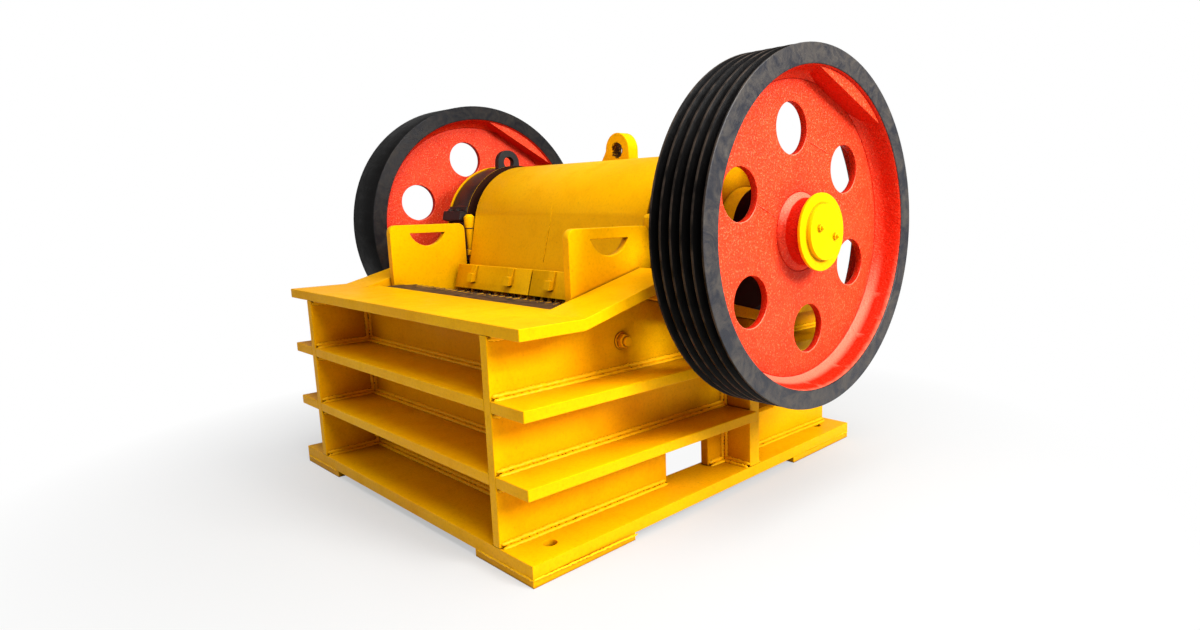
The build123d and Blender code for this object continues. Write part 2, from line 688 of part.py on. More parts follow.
def groove_points():
    """Rim outline across the V-grooves, from the inner to the outer edge of the tread."""
    flank = GROOVE_DEPTH * tan(radians(GROOVE_ANGLE / 2))
    points = []
    for i in range(GROOVE_COUNT):
        centre = (i - (GROOVE_COUNT - 1) / 2) * GROOVE_PITCH
        points.append((centre - GROOVE_TOP / 2, WHEEL_R))
        points.append((centre - GROOVE_TOP / 2 + flank, WHEEL_R - GROOVE_DEPTH))
        points.append((centre + GROOVE_TOP / 2 - flank, WHEEL_R - GROOVE_DEPTH))
        points.append((centre + GROOVE_TOP / 2, WHEEL_R))
    return points


def turned(points):
    """Ring turned about the shaft line from (X, radius) points, before it is placed along X."""
    return revolve(make_face(Polyline(*points, close=True)), Axis.X, 360)


def wheel_rim(tread):
    """Rim of a flywheel with its tread, down to where it meets the web."""
    half = WHEEL_W / 2
    web = WEB_T / 2
    return turned([(-half, RING_IN_R), (-half, WHEEL_R)] + tread + [
        (half, WHEEL_R),
        (half, RING_IN_R),
        (web + RIM_FLARE, RIM_ROOT_R),
        (web, RIM_ROOT_R - RIM_FLARE),
        (-web, RIM_ROOT_R - RIM_FLARE),
        (-web - RIM_FLARE, RIM_ROOT_R),
    ])


def wheel_web():
    """Web of a flywheel with its round openings."""
    web = WEB_T / 2
    outer = RIM_ROOT_R - RIM_FLARE - WEB_SEAT
    inner = HUB_R + HUB_FLARE + WEB_SEAT
    disc_web = turned([(-web, inner), (-web, outer), (web, outer), (web, inner)])
    for i in range(HOLE_COUNT):
        angle = radians(HOLE_PHASE + i * 360.0 / HOLE_COUNT)
        disc_web -= disc(HOLE_R, -web, web, HOLE_PITCH_R * cos(angle), HOLE_PITCH_R * sin(angle))
    return disc_web


def wheel_hub():
    """Hub of a flywheel, flared where it meets the web."""
    web = WEB_T / 2
    return turned([
        (-HUB_IN, SHAFT_END_R),
        (-HUB_IN, HUB_R),
        (-web - HUB_FLARE, HUB_R),
        (-web, HUB_R + HUB_FLARE),
        (web, HUB_R + HUB_FLARE),
        (web + HUB_FLARE, HUB_R),
        (HUB_OUT, HUB_R),
        (HUB_OUT, SHAFT_END_R),
    ])


def balance_weights(rim, angle):
    """Cast segments that fill the rim on one side of the shaft line, inside and outside the web."""
    span = 2 * WHEEL_R
    segment = Circle(RING_IN_R) & Pos(0, WEIGHT_CHORD + span / 2) * Rectangle(span, span)
    outline = Rot(0, 0, angle - 90.0) * segment
    outer = along_x(outline, WEB_T / 2, WEIGHT_HALF_W) - rim
    inner = along_x(outline, -WEIGHT_HALF_W, -WEB_T / 2) - rim
    return [outer, inner]


def eccentric_shaft():
    """Shaft with its main journals, stepped ends and the eccentric length inside the moving jaw."""
    shaft = disc(ECC_R, -PITMAN_HALF, PITMAN_HALF, ECC_Y, ECC_Z)
    for side in (-1, 1):
        near = disc(JOURNAL_R, PITMAN_HALF, HUB_BACK)
        end = disc(SHAFT_END_R, HUB_BACK, HUB_FACE)
        shaft += (near + end) if side > 0 else other_side(near + end)
    return shaft


def hub_cap():
    """Retaining disc on the end of the shaft with its raised centre."""
    disc_end = HUB_FACE + CAP_DISC_T
    return disc(CAP_DISC_R, HUB_FACE, disc_end) + disc(CAP_BOSS_R, disc_end, disc_end + CAP_BOSS_T)


def save(name, solids):
    """Write one node as a STEP file, with the origin moved under the middle of the machine."""
    parts = solids if isinstance(solids, list) else [solids]
    pieces = []
    for part in parts:
        pieces += part.solids()
    shape = Compound(children=[p for p in pieces]) if len(pieces) > 1 else pieces[0]
    export_step(Pos(0, -FRAME_LEN / 2, 0) * shape, f"parts/{name}.step")


def both(right):
    """The right-hand piece and its mirror image."""
    return [right, other_side(right)]


def save_pair(name, right):
    """Write the right-hand node and its mirror image as two nodes."""
    save(f"{name}_right", right)
    save(f"{name}_left", other_side(right))


os.makedirs("parts", exist_ok=True)

rear_face = SIDE_END - REAR_WALL_T
rear_rail = block(-PLATE_GAP_HALF, PLATE_GAP_HALF, rear_face, SIDE_END, REAR_TOP, REAR_TOP + RIB_T)
save("base_flange", base_flange())
save("foot_pads_front", foot_pads(0.0, PAD_FRONT_LEN))
save("foot_pads_rear", foot_pads(FRAME_LEN - PAD_REAR_LEN, FRAME_LEN))
save_pair("side_plate", side_plate())
save("front_wall", block(-PLATE_GAP_HALF, PLATE_GAP_HALF, WALL_FRONT, WALL_BACK, BASE_TOP, TOP_UNDER))
save("rear_wall", block(-PLATE_GAP_HALF, PLATE_GAP_HALF, rear_face, SIDE_END, BASE_TOP, REAR_TOP))
front_ribs = []
side_ribs = []
for top, end in ((LOW_RIB_TOP, STIFF_Y), (MID_RIB_TOP, SIDE_END)):
    front_ribs.append(block(-PLATE_GAP_HALF, PLATE_GAP_HALF, 0.0, WALL_FRONT, top - RIB_T, top))
    side_ribs.append(block(SIDE_OUT, FRAME_HALF, 0.0, end, top - RIB_T, top))
save("front_ribs", front_ribs)
save("side_ribs", side_ribs + [other_side(rib) for rib in side_ribs])
save("top_flange", top_flange())
save("rear_flange", top_flange_rear_side() + rear_rail + other_side(top_flange_rear_side()))
save("bearing_seats", both(bearing_seat()))
save("stiffeners", stiffeners() + [other_side(plate) for plate in stiffeners()])
save_pair("bearing_housing", housing_lower())
save_pair("bearing_cap", housing_cap())
save("bearing_covers", bearing_covers() + [other_side(cover) for cover in bearing_covers()])
save("cap_eyes", both(cap_eye()))
save("clamp_bolts", both(clamp_bolt()))
save_pair("cheek_plate", cheek_plate())
save("cheek_bolts", both(cheek_bolt()))
save("fixed_jaw_plate", fixed_jaw_plate())
save("toggle_beam", toggle_beam())
save("toggle_plate", toggle_plate())

wheel_place = Pos(WHEEL_X, SHAFT_Y, SHAFT_Z)
grooved_rim = wheel_rim(groove_points())
plain_rim = wheel_rim([])
weights_right = balance_weights(grooved_rim, WEIGHT_ANGLE_RIGHT)
weights_left = balance_weights(plain_rim, WEIGHT_ANGLE_LEFT)
save("eccentric_shaft", eccentric_shaft())
save("flywheel_rim_right", wheel_place * grooved_rim)
save("flywheel_rim_left", other_side(wheel_place * plain_rim))
save_pair("flywheel_web", wheel_place * wheel_web())
save("flywheel_hubs", both(wheel_place * wheel_hub()))
save("balance_weights_right", [wheel_place * weight for weight in weights_right])
save("balance_weights_left", [other_side(wheel_place * weight) for weight in weights_left])
save("hub_caps", both(hub_cap()))

save("moving_jaw", moving_jaw())
save("moving_jaw_plate", moving_jaw_plate())
save("jaw_wedge", wedge())
save("jaw_flap", flap())
save("jaw_guard", guard())
save("lifting_lug", lifting_lug())
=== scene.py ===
import math
import random

import bmesh
import bpy
from mathutils import Matrix, Vector


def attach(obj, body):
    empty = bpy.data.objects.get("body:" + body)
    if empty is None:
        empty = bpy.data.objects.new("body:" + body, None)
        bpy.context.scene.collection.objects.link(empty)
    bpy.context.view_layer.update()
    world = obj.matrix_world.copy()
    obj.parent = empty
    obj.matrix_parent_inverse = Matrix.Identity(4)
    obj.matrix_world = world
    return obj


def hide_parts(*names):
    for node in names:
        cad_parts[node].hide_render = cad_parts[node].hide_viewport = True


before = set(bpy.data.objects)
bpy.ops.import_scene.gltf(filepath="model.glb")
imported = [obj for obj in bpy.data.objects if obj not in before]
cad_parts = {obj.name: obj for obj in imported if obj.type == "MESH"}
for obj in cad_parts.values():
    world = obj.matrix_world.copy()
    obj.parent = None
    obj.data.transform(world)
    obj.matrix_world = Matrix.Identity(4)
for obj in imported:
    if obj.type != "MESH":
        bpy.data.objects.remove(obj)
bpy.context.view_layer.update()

# Lengths are in millimetres, counted along Y from the front edge of the frame as in the drawing.
# at() turns them into the scene's metres, whose origin is under the middle of the machine.
ORIGIN_Y = 775.0
MM = 0.001

# Plate work. A pair is the underside and the top of a rib, or the front and the back of a plate.
BASE_TOP = 60.0
LOWER_RIB = (228.0, 260.0)
MIDDLE_RIB = (428.0, 460.0)
TOP_UNDER = 628.0
PLATE_IN = 552.0
PLATE_OUT = 584.0
FRAME_HALF = 730.0
WALL_FRONT = 200.0
SIDE_END = 1515.0
STIFFENER = (900.0, 950.0)
REAR_TOP = 548.0
REAR_EDGE = 1550.0
REAR_HALF = 680.0
PAD_TOP = 22.0
PAD_WIDTH = 260.0
PAD_FRONT = 355.0
PAD_REAR = 388.0

# Shaft line and bearings. Bolts are given by their place across (X) and in the tilted housing (u, v).
SHAFT = (884.0, 854.5)
SEAT_TILT = math.radians(15.0)
SEAT_UP = Vector((0.0, math.sin(SEAT_TILT), math.cos(SEAT_TILT)))
INNER_COVER_X = 551.0
COVER_FACE = 700.0
COVER_SHADE_V = -60.0
SEAL_X = 758.5
COVER_BOLT_R = 236.0
COVER_BOLT_COUNT = 12
COVER_BOLT_LOWEST = -200.0
EAR_BOLTS = ((592.0, 652.0), 275.0, 0.0)
FOOT_BOLTS = ((588.0, 656.0), 215.0, -205.0)

# Wheels and hub caps
WHEEL_R = 525.0
RING_IN_R = 469.0
WHEEL_X = 899.0
WHEEL_HALF = 96.0
WEB_FACE = 911.0
CAP_FACE = 1004.0
CAP_NUTS = ((846.0, 867.5), (926.0, 840.5))

# Lifting lug, clamp bolts and cheek bolts
LUG_HOLE_Z = 1147.0
LUG_HOLE_R = 28.0
CLAMP_X = 527.0
CLAMP_Y = 628.0
CLAMP_RING_Z = 856.0
CLAMP_NUT_Z = 750.0
CHEEK_NUT = (445.0, 551.0)

# Where the welds start and stop: at the front edge, the window, the slope and the stiffener.
WELD_START = 5.0
WINDOW_SPAN = (612.0, 820.0)
SLOPE_WELD_END = 430.0
STIFFENER_WELD_EDGE = 698.0
STIFFENER_WELD_TOP = (562.0, 548.0)

# A fillet weld has two passes. Their offset and radius are shares of its leg.
WELD_LEG = 16.0
PASS_OFFSET = 0.62
PASS_RADIUS = 0.42
SECOND_PASS_SEED = 500

# Ripples of a hand weld are about 4 mm apart, drawn at 12 mm so that they show: a crest and a trough,
# one step each. The line of a bead strays by up to WANDER.
RIPPLE_STEP = 6.0
WANDER = 0.9
BEAD_SIDES = 8

# Shares of a bead's radius: added at a crest, at a trough and at random, and kept near its ends.
CREST = 0.16
TROUGH = -0.12
UNEVENNESS = 0.17
END_TAPER = (0.3, 0.75, 1.0)

# Sides of a nut or bolt head
HEXAGON = 6

# Camera, as calibrated from the photograph: turn, tilt and roll in degrees, and pixels.
CAMERA_PLACE = (2212.5, -975.5, 948.9)
CAMERA_ANGLES = (42.98, 9.92, -1.01)
PHOTO_SIZE = (1200.0, 630.0)
FOCAL_PIXELS = 744.08
CENTRE_PIXELS = (696.99, 331.67)
SENSOR_WIDTH = 36.0


def at(x, y, z):
    """Point of the drawing, in metres in the scene."""
    return Vector((x * MM, (y - ORIGIN_Y) * MM, z * MM))


def seat_point(x, u, v):
    """Point in the tilted bearing frame: u towards the front, v square to the joint."""
    y = SHAFT[0] - u * math.cos(SEAT_TILT) + v * math.sin(SEAT_TILT)
    z = SHAFT[1] + u * math.sin(SEAT_TILT) + v * math.cos(SEAT_TILT)
    return at(x, y, z)


# Materials. Each one is named for what the real surface is and how it was made.

def paint(hex_value):
    """sRGB hex value as linear colour."""
    channels = [int(hex_value[i:i + 2], 16) / 255.0 for i in (1, 3, 5)]
    linear = [c / 12.92 if c <= 0.04045 else ((c + 0.055) / 1.055) ** 2.4 for c in channels]
    return (*linear, 1.0)


def per_mm(size):
    """Texture scale for a pattern whose features are that many millimetres across."""
    return 1000.0 / size


def add(tree, kind, settings=None, links=None):
    """Adds one node with its settings and links, and returns it."""
    made = tree.nodes.new(kind)
    for key, value in (settings or {}).items():
        if isinstance(key, int) or key in made.inputs:
            made.inputs[key].default_value = value
        else:
            setattr(made, key, value)
    for key, output in (links or {}).items():
        tree.links.new(output, made.inputs[key])
    return made


def start_material(name):
    """Empty material with its node tree and the object's own coordinates."""
    made = bpy.data.materials.new(name)
    made.use_nodes = True
    tree = made.node_tree
    tree.nodes.clear()
    place = add(tree, "ShaderNodeTexCoord").outputs["Object"]
    return made, tree, place


def finish_material(tree, colour, roughness, height, depth_mm, settings, varied=None):
    """Joins colour, roughness, relief and whatever else is varied to the surface shader."""
    relief = add(tree, "ShaderNodeBump", {"Strength": 1.0, "Distance": depth_mm * MM}, {"Height": height})
    joined = {"Base Color": colour, "Roughness": roughness, "Normal": relief.outputs[0]}
    shader = add(tree, "ShaderNodeBsdfPrincipled", settings, joined | (varied or {}))
    add(tree, "ShaderNodeOutputMaterial", None, {"Surface": shader.outputs[0]})


def yellow_enamel(name, second=None):
    """Gloss machinery enamel sprayed on hot-rolled plate: even gold, faint orange peel, and painted shade
    that is browner in corners, darker in crevices and behind the wheels.

    second() gives the share and the colour of a second colour in places: rust on the lug, painted shade on
    the covers.
    """
    made, tree, place = start_material(name)
    broad = add(tree, "ShaderNodeTexNoise", {"Scale": per_mm(420), "Detail": 3.0}, {"Vector": place})
    cloud = add(
        tree, "ShaderNodeTexNoise",
        {"Scale": per_mm(85), "Detail": 6.0, "Roughness": 0.62}, {"Vector": place},
    )
    speck = add(
        tree, "ShaderNodeTexNoise",
        {"Scale": per_mm(9), "Detail": 4.0, "Roughness": 0.7}, {"Vector": place},
    )
    # Orange peel is about 1 mm across, drawn at 3.5 mm so that it shows.
    peel = add(tree, "ShaderNodeTexNoise", {"Scale": per_mm(3.5), "Detail": 2.0}, {"Vector": place})
    corner = add(tree, "ShaderNodeAmbientOcclusion", {"samples": 8, "Distance": 110 * MM})
    tone = add(tree, "ShaderNodeMapRange", {"From Min": 0.35, "From Max": 0.65}, {"Value": broad.outputs[0]})
    gold = add(
        tree, "ShaderNodeMix",
        {"data_type": "RGBA", 6: paint("#FCBB02"), 7: paint("#F8B002")}, {0: tone.outputs[0]},
    )
    thin = add(
        tree, "ShaderNodeMapRange",
        {"From Min": 0.52, "From Max": 0.74, "To Max": 0.35}, {"Value": cloud.outputs[0]},
    )
    thinned = add(
        tree, "ShaderNodeMix",
        {"data_type": "RGBA", 7: paint("#E09204")}, {0: thin.outputs[0], 6: gold.outputs[2]},
    )
    grain = add(
        tree, "ShaderNodeMapRange",
        {"From Min": 0.45, "From Max": 0.68, "To Max": 0.3}, {"Value": speck.outputs[0]},
    )
    grained = add(
        tree, "ShaderNodeMix",
        {"data_type": "RGBA", 7: paint("#D48A02")}, {0: grain.outputs[0], 6: thinned.outputs[2]},
    )
    # Painted shade: the enamel turns browner in the corners, where less light reaches.
    shade = add(
        tree, "ShaderNodeMapRange",
        {"From Min": 0.8, "From Max": 0.15, "To Max": 0.6}, {"Value": corner.outputs["AO"]},
    )
    corner_shaded = add(
        tree, "ShaderNodeMix",
        {"data_type": "RGBA", 7: paint("#A85A06")}, {0: shade.outputs[0], 6: grained.outputs[2]},
    )
    # Painted shade: a dark line in the crevices between plates, for the contact shadow there.
    crevice = add(tree, "ShaderNodeAmbientOcclusion", {"samples": 8, "Distance": 12 * MM})
    crevice_shade = add(
        tree, "ShaderNodeMapRange",
        {"From Min": 0.84, "From Max": 0.48, "To Max": 0.75}, {"Value": crevice.outputs["AO"]},
    )
    crevice_shaded = add(
        tree, "ShaderNodeMix",
        {"data_type": "RGBA", 7: paint("#5A3006")}, {0: crevice_shade.outputs[0], 6: corner_shaded.outputs[2]},
    )
    # Painted shadow: the plates sheltered behind the wheels are darkened, for the wheels' shadow on them.
    shelter = add(tree, "ShaderNodeAmbientOcclusion", {"samples": 8, "Distance": 420 * MM})
    shelter_shade = add(
        tree, "ShaderNodeMapRange",
        {"From Min": 0.2, "From Max": 0.06, "To Max": 0.75}, {"Value": shelter.outputs["AO"]},
    )
    shelter_shaded = add(
        tree, "ShaderNodeMix",
        {"data_type": "RGBA", 7: paint("#4A2604")}, {0: shelter_shade.outputs[0], 6: crevice_shaded.outputs[2]},
    )
    dirt = add(
        tree, "ShaderNodeMapRange",
        {"From Min": 0.66, "From Max": 0.76, "To Max": 0.5}, {"Value": speck.outputs[0]},
    )
    dirty = add(
        tree, "ShaderNodeMix",
        {"data_type": "RGBA", 7: paint("#8A5A10")}, {0: dirt.outputs[0], 6: shelter_shaded.outputs[2]},
    )
    shown = dirty
    if second:
        share, colour = second(tree, place, speck)
        shown = add(
            tree, "ShaderNodeMix",
            {"data_type": "RGBA", 7: paint(colour)}, {0: share.outputs[0], 6: dirty.outputs[2]},
        )
    gloss = add(
        tree, "ShaderNodeMapRange",
        {"From Min": 0.3, "From Max": 0.7, "To Min": 0.32, "To Max": 0.5}, {"Value": cloud.outputs[0]},
    )
    height = add(
        tree, "ShaderNodeMath",
        {"operation": "MULTIPLY_ADD", 1: 0.35}, {0: cloud.outputs[0], 2: peel.outputs[0]},
    )
    finish_material(
        tree, shown.outputs[2], gloss.outputs[0], height.outputs[0], depth_mm=0.3,
        settings={"IOR": 1.5, "Specular IOR Level": 0.1, "Specular Tint": paint("#FFC040")},
    )
    return made


def rusty_eye(tree, place, speck):
    """Bare rust in the hole of the lifting lug, with specks of it around the hole."""
    parts = add(tree, "ShaderNodeSeparateXYZ", None, {"Vector": place})
    rise = add(tree, "ShaderNodeMath", {"operation": "SUBTRACT", 1: LUG_HOLE_Z * MM}, {0: parts.outputs[2]})
    flat = add(tree, "ShaderNodeCombineXYZ", None, {"X": parts.outputs[0], "Y": rise.outputs[0]})
    radius = add(tree, "ShaderNodeVectorMath", {"operation": "LENGTH"}, {0: flat.outputs[0]})
    near = add(
        tree, "ShaderNodeMapRange",
        {"From Min": (LUG_HOLE_R + 16.0) * MM, "From Max": LUG_HOLE_R * MM},
        {"Value": radius.outputs["Value"]},
    )
    spread = add(
        tree, "ShaderNodeMath",
        {"operation": "MULTIPLY_ADD", 1: 0.55}, {0: near.outputs[0], 2: speck.outputs[0]},
    )
    share = add(tree, "ShaderNodeMapRange", {"From Min": 0.92, "From Max": 1.0}, {"Value": spread.outputs[0]})
    return share, "#54300F"


def black_paint_and_painted_shade(tree, place, speck):
    """Painted shade in black on the inner covers, on the ends of the seals and low on the outer covers, which
    lie in the shadow between the guard, the wheels and the frame.
    """
    parts = add(tree, "ShaderNodeSeparateXYZ", None, {"Vector": place})
    across = add(tree, "ShaderNodeMath", {"operation": "ABSOLUTE"}, {0: parts.outputs[0]})
    inner = add(
        tree, "ShaderNodeMath",
        {"operation": "LESS_THAN", 1: INNER_COVER_X * MM}, {0: across.outputs[0]},
    )
    seal = add(tree, "ShaderNodeMath", {"operation": "GREATER_THAN", 1: SEAL_X * MM}, {0: across.outputs[0]})
    # Height over the joint of the tilted housing, v in seat_point().
    below = add(
        tree, "ShaderNodeVectorMath",
        {"operation": "DOT_PRODUCT", 1: SEAT_UP}, {0: place},
    )
    # Painted shade: the outer covers are black below this height over the joint.
    level = seat_point(0, 0, COVER_SHADE_V).dot(SEAT_UP)
    joint = add(tree, "ShaderNodeMath", {"operation": "LESS_THAN", 1: level}, {0: below.outputs["Value"]})
    ends = add(tree, "ShaderNodeMath", {"operation": "MAXIMUM"}, {0: inner.outputs[0], 1: seal.outputs[0]})
    share = add(tree, "ShaderNodeMath", {"operation": "MAXIMUM"}, {0: ends.outputs[0], 1: joint.outputs[0]})
    return share, "#2A1510"


def weld_enamel():
    """The same enamel over a rippled weld bead, with soot and rust showing at its edges."""
    made, tree, place = start_material("painted_weld_bead")
    blot = add(
        tree, "ShaderNodeTexNoise",
        {"Scale": per_mm(13), "Detail": 5.0, "Roughness": 0.7}, {"Vector": place},
    )
    grain = add(tree, "ShaderNodeTexNoise", {"Scale": per_mm(3), "Detail": 2.0}, {"Vector": place})
    soot = add(
        tree, "ShaderNodeMapRange",
        {"From Min": 0.54, "From Max": 0.72, "To Max": 0.4}, {"Value": blot.outputs[0]},
    )
    mixed = add(
        tree, "ShaderNodeMix",
        {"data_type": "RGBA", 6: paint("#FCBC04"), 7: paint("#9A5A06")}, {0: soot.outputs[0]},
    )
    gloss = add(
        tree, "ShaderNodeMapRange",
        {"To Min": 0.3, "To Max": 0.55}, {"Value": blot.outputs[0]},
    )
    finish_material(
        tree, mixed.outputs[2], gloss.outputs[0], grain.outputs[0], depth_mm=0.5,
        settings={"IOR": 1.5, "Specular IOR Level": 0.3, "Specular Tint": paint("#FFE9A0")},
    )
    return made


def wheel_paint():
    """Red paint on a pebbly sand casting with painted shade and highlights, and black paint on the turned
    rim, lighter at the groove edges from wear and a painted glint.
    """
    made, tree, place = start_material("red_cast_wheel_black_rim")
    parts = add(tree, "ShaderNodeSeparateXYZ", None, {"Vector": place})
    dy = add(
        tree, "ShaderNodeMath",
        {"operation": "SUBTRACT", 1: (SHAFT[0] - ORIGIN_Y) * MM}, {0: parts.outputs[1]},
    )
    dz = add(tree, "ShaderNodeMath", {"operation": "SUBTRACT", 1: SHAFT[1] * MM}, {0: parts.outputs[2]})
    flat = add(tree, "ShaderNodeCombineXYZ", None, {"X": dy.outputs[0], "Y": dz.outputs[0]})
    radius = add(tree, "ShaderNodeVectorMath", {"operation": "LENGTH"}, {0: flat.outputs[0]})
    rim = add(
        tree, "ShaderNodeMapRange",
        {"From Min": (RING_IN_R - 1.2) * MM, "From Max": (RING_IN_R - 0.6) * MM},
        {"Value": radius.outputs["Value"]},
    )
    pebble = add(
        tree, "ShaderNodeTexNoise",
        {"Scale": per_mm(13), "Detail": 6.0, "Roughness": 0.62}, {"Vector": place},
    )
    lump = add(
        tree, "ShaderNodeTexNoise",
        {"Scale": per_mm(70), "Detail": 4.0, "Roughness": 0.6}, {"Vector": place},
    )
    pit = add(tree, "ShaderNodeTexVoronoi", {"Scale": per_mm(17), "Randomness": 1.0}, {"Vector": place})
    scratch = add(
        tree, "ShaderNodeTexNoise",
        {"Scale": per_mm(60), "Detail": 8.0, "Roughness": 0.8, "Distortion": 0.8}, {"Vector": place},
    )
    tone = add(tree, "ShaderNodeMapRange", {"From Min": 0.3, "From Max": 0.7}, {"Value": lump.outputs[0]})
    red = add(
        tree, "ShaderNodeMix",
        {"data_type": "RGBA", 6: paint("#EA4119"), 7: paint("#DC3410")}, {0: tone.outputs[0]},
    )
    deep = add(
        tree, "ShaderNodeMapRange",
        {"From Min": 0.14, "From Max": 0.07, "To Max": 0.8}, {"Value": pit.outputs[0]},
    )
    pitted = add(
        tree, "ShaderNodeMix",
        {"data_type": "RGBA", 7: paint("#8E1A08")}, {0: deep.outputs[0], 6: red.outputs[2]},
    )
    # Painted highlights: light specks on the grains of the moulding sand under the paint, drawn at 6 mm so
    # that they show.
    sand = add(
        tree, "ShaderNodeTexNoise",
        {"Scale": per_mm(6), "Detail": 2.0, "Roughness": 0.6}, {"Vector": place},
    )
    grain = add(
        tree, "ShaderNodeMapRange",
        {"From Min": 0.57, "From Max": 0.65, "To Max": 0.7}, {"Value": sand.outputs[0]},
    )
    grained = add(
        tree, "ShaderNodeMix",
        {"data_type": "RGBA", 7: paint("#FF7A4E")}, {0: grain.outputs[0], 6: pitted.outputs[2]},
    )
    # Painted shade: on faces that do not look along the axis, inside the rim, on the hub and in the holes,
    # the red is deeper and less glossy, as they turn away from the light.
    face = add(tree, "ShaderNodeNewGeometry")
    lean = add(tree, "ShaderNodeSeparateXYZ", None, {"Vector": face.outputs["Normal"]})
    flatness = add(tree, "ShaderNodeMath", {"operation": "ABSOLUTE"}, {0: lean.outputs[0]})
    turned_in_shade = add(
        tree, "ShaderNodeMapRange",
        {"From Min": 0.75, "From Max": 0.3, "To Max": 0.8}, {"Value": flatness.outputs[0]},
    )
    turned_in_shaded = add(
        tree, "ShaderNodeMix",
        {"data_type": "RGBA", 7: paint("#C01604")}, {0: turned_in_shade.outputs[0], 6: grained.outputs[2]},
    )
    # Painted highlight: the fillets and edges that face up are paler, where the overhead light falls on them.
    upward = add(
        tree, "ShaderNodeMapRange",
        {"From Min": 0.15, "From Max": 0.5, "To Max": 0.75}, {"Value": lean.outputs[2]},
    )
    edge = add(
        tree, "ShaderNodeMapRange",
        {"From Min": 0.25, "From Max": 0.5}, {"Value": flatness.outputs[0]},
    )
    upward_highlight = add(tree, "ShaderNodeMath", {"operation": "MULTIPLY"}, {0: upward.outputs[0], 1: edge.outputs[0]})
    dust_and_highlight = add(
        tree, "ShaderNodeMix",
        {"data_type": "RGBA", 7: paint("#F88E70")}, {0: upward_highlight.outputs[0], 6: turned_in_shaded.outputs[2]},
    )
    # Painted shade: a deeper red in the corners, near the hub and under the rim, where less light reaches.
    corner = add(tree, "ShaderNodeAmbientOcclusion", {"samples": 8, "Distance": 150 * MM})
    shade = add(
        tree, "ShaderNodeMapRange",
        {"From Min": 0.9, "From Max": 0.35, "To Max": 0.9}, {"Value": corner.outputs["AO"]},
    )
    corner_shaded = add(
        tree, "ShaderNodeMix",
        {"data_type": "RGBA", 7: paint("#C41304")}, {0: shade.outputs[0], 6: dust_and_highlight.outputs[2]},
    )
    patch = add(
        tree, "ShaderNodeMapRange",
        {"From Min": 0.42, "From Max": 0.62}, {"Value": scratch.outputs[0]},
    )
    black = add(
        tree, "ShaderNodeMix",
        {"data_type": "RGBA", 6: paint("#26272D"), 7: paint("#47423D")}, {0: patch.outputs[0]},
    )
    # The tread is darker than the faces of the rim.
    tread = add(
        tree, "ShaderNodeMapRange",
        {"From Min": (WHEEL_R - 1.4) * MM, "From Max": (WHEEL_R - 0.5) * MM},
        {"Value": radius.outputs["Value"]},
    )
    across = add(tree, "ShaderNodeMath", {"operation": "ABSOLUTE"}, {0: parts.outputs[0]})
    offset = add(tree, "ShaderNodeMath", {"operation": "SUBTRACT", 1: WHEEL_X * MM}, {0: across.outputs[0]})
    aside = add(tree, "ShaderNodeMath", {"operation": "ABSOLUTE"}, {0: offset.outputs[0]})
    inboard = add(
        tree, "ShaderNodeMapRange",
        {"From Min": (WHEEL_HALF - 1.0) * MM, "From Max": (WHEEL_HALF - 2.5) * MM},
        {"Value": aside.outputs[0]},
    )
    # The end faces that look at the machine are darker.
    back = add(
        tree, "ShaderNodeMapRange",
        {"From Min": 1.0 * MM, "From Max": -1.0 * MM, "To Max": 0.65}, {"Value": offset.outputs[0]},
    )
    darker = add(
        tree, "ShaderNodeMath",
        {"operation": "MAXIMUM"}, {0: inboard.outputs[0], 1: back.outputs[0]},
    )
    treaded = add(
        tree, "ShaderNodeMix",
        {"data_type": "RGBA", 7: paint("#060505")}, {0: darker.outputs[0], 6: black.outputs[2]},
    )
    # The crests of the grooves are lighter in patches: worn paint, and a painted glint where they catch the
    # light.
    bare = add(
        tree, "ShaderNodeMapRange",
        {"From Min": 0.4, "From Max": 0.62, "To Min": 0.1, "To Max": 0.85}, {"Value": lump.outputs[0]},
    )
    grooved = add(tree, "ShaderNodeMath", {"operation": "GREATER_THAN", 1: 0.0}, {0: parts.outputs[0]})
    crest = add(
        tree, "ShaderNodeMath",
        {"operation": "MULTIPLY"}, {0: tread.outputs[0], 1: grooved.outputs[0]},
    )
    worn = add(tree, "ShaderNodeMath", {"operation": "MULTIPLY"}, {0: crest.outputs[0], 1: bare.outputs[0]})
    crest_glint_and_wear = add(
        tree, "ShaderNodeMix",
        {"data_type": "RGBA", 7: paint("#443931")}, {0: worn.outputs[0], 6: treaded.outputs[2]},
    )
    shown = add(
        tree, "ShaderNodeMix",
        {"data_type": "RGBA"}, {0: rim.outputs[0], 6: corner_shaded.outputs[2], 7: crest_glint_and_wear.outputs[2]},
    )
    black_rough = add(
        tree, "ShaderNodeMapRange",
        {"From Min": 0.3, "From Max": 0.7, "To Min": 0.26, "To Max": 0.5}, {"Value": scratch.outputs[0]},
    )
    rough = add(
        tree, "ShaderNodeMix",
        {"data_type": "FLOAT", 2: 0.4}, {0: rim.outputs[0], 3: black_rough.outputs[0]},
    )
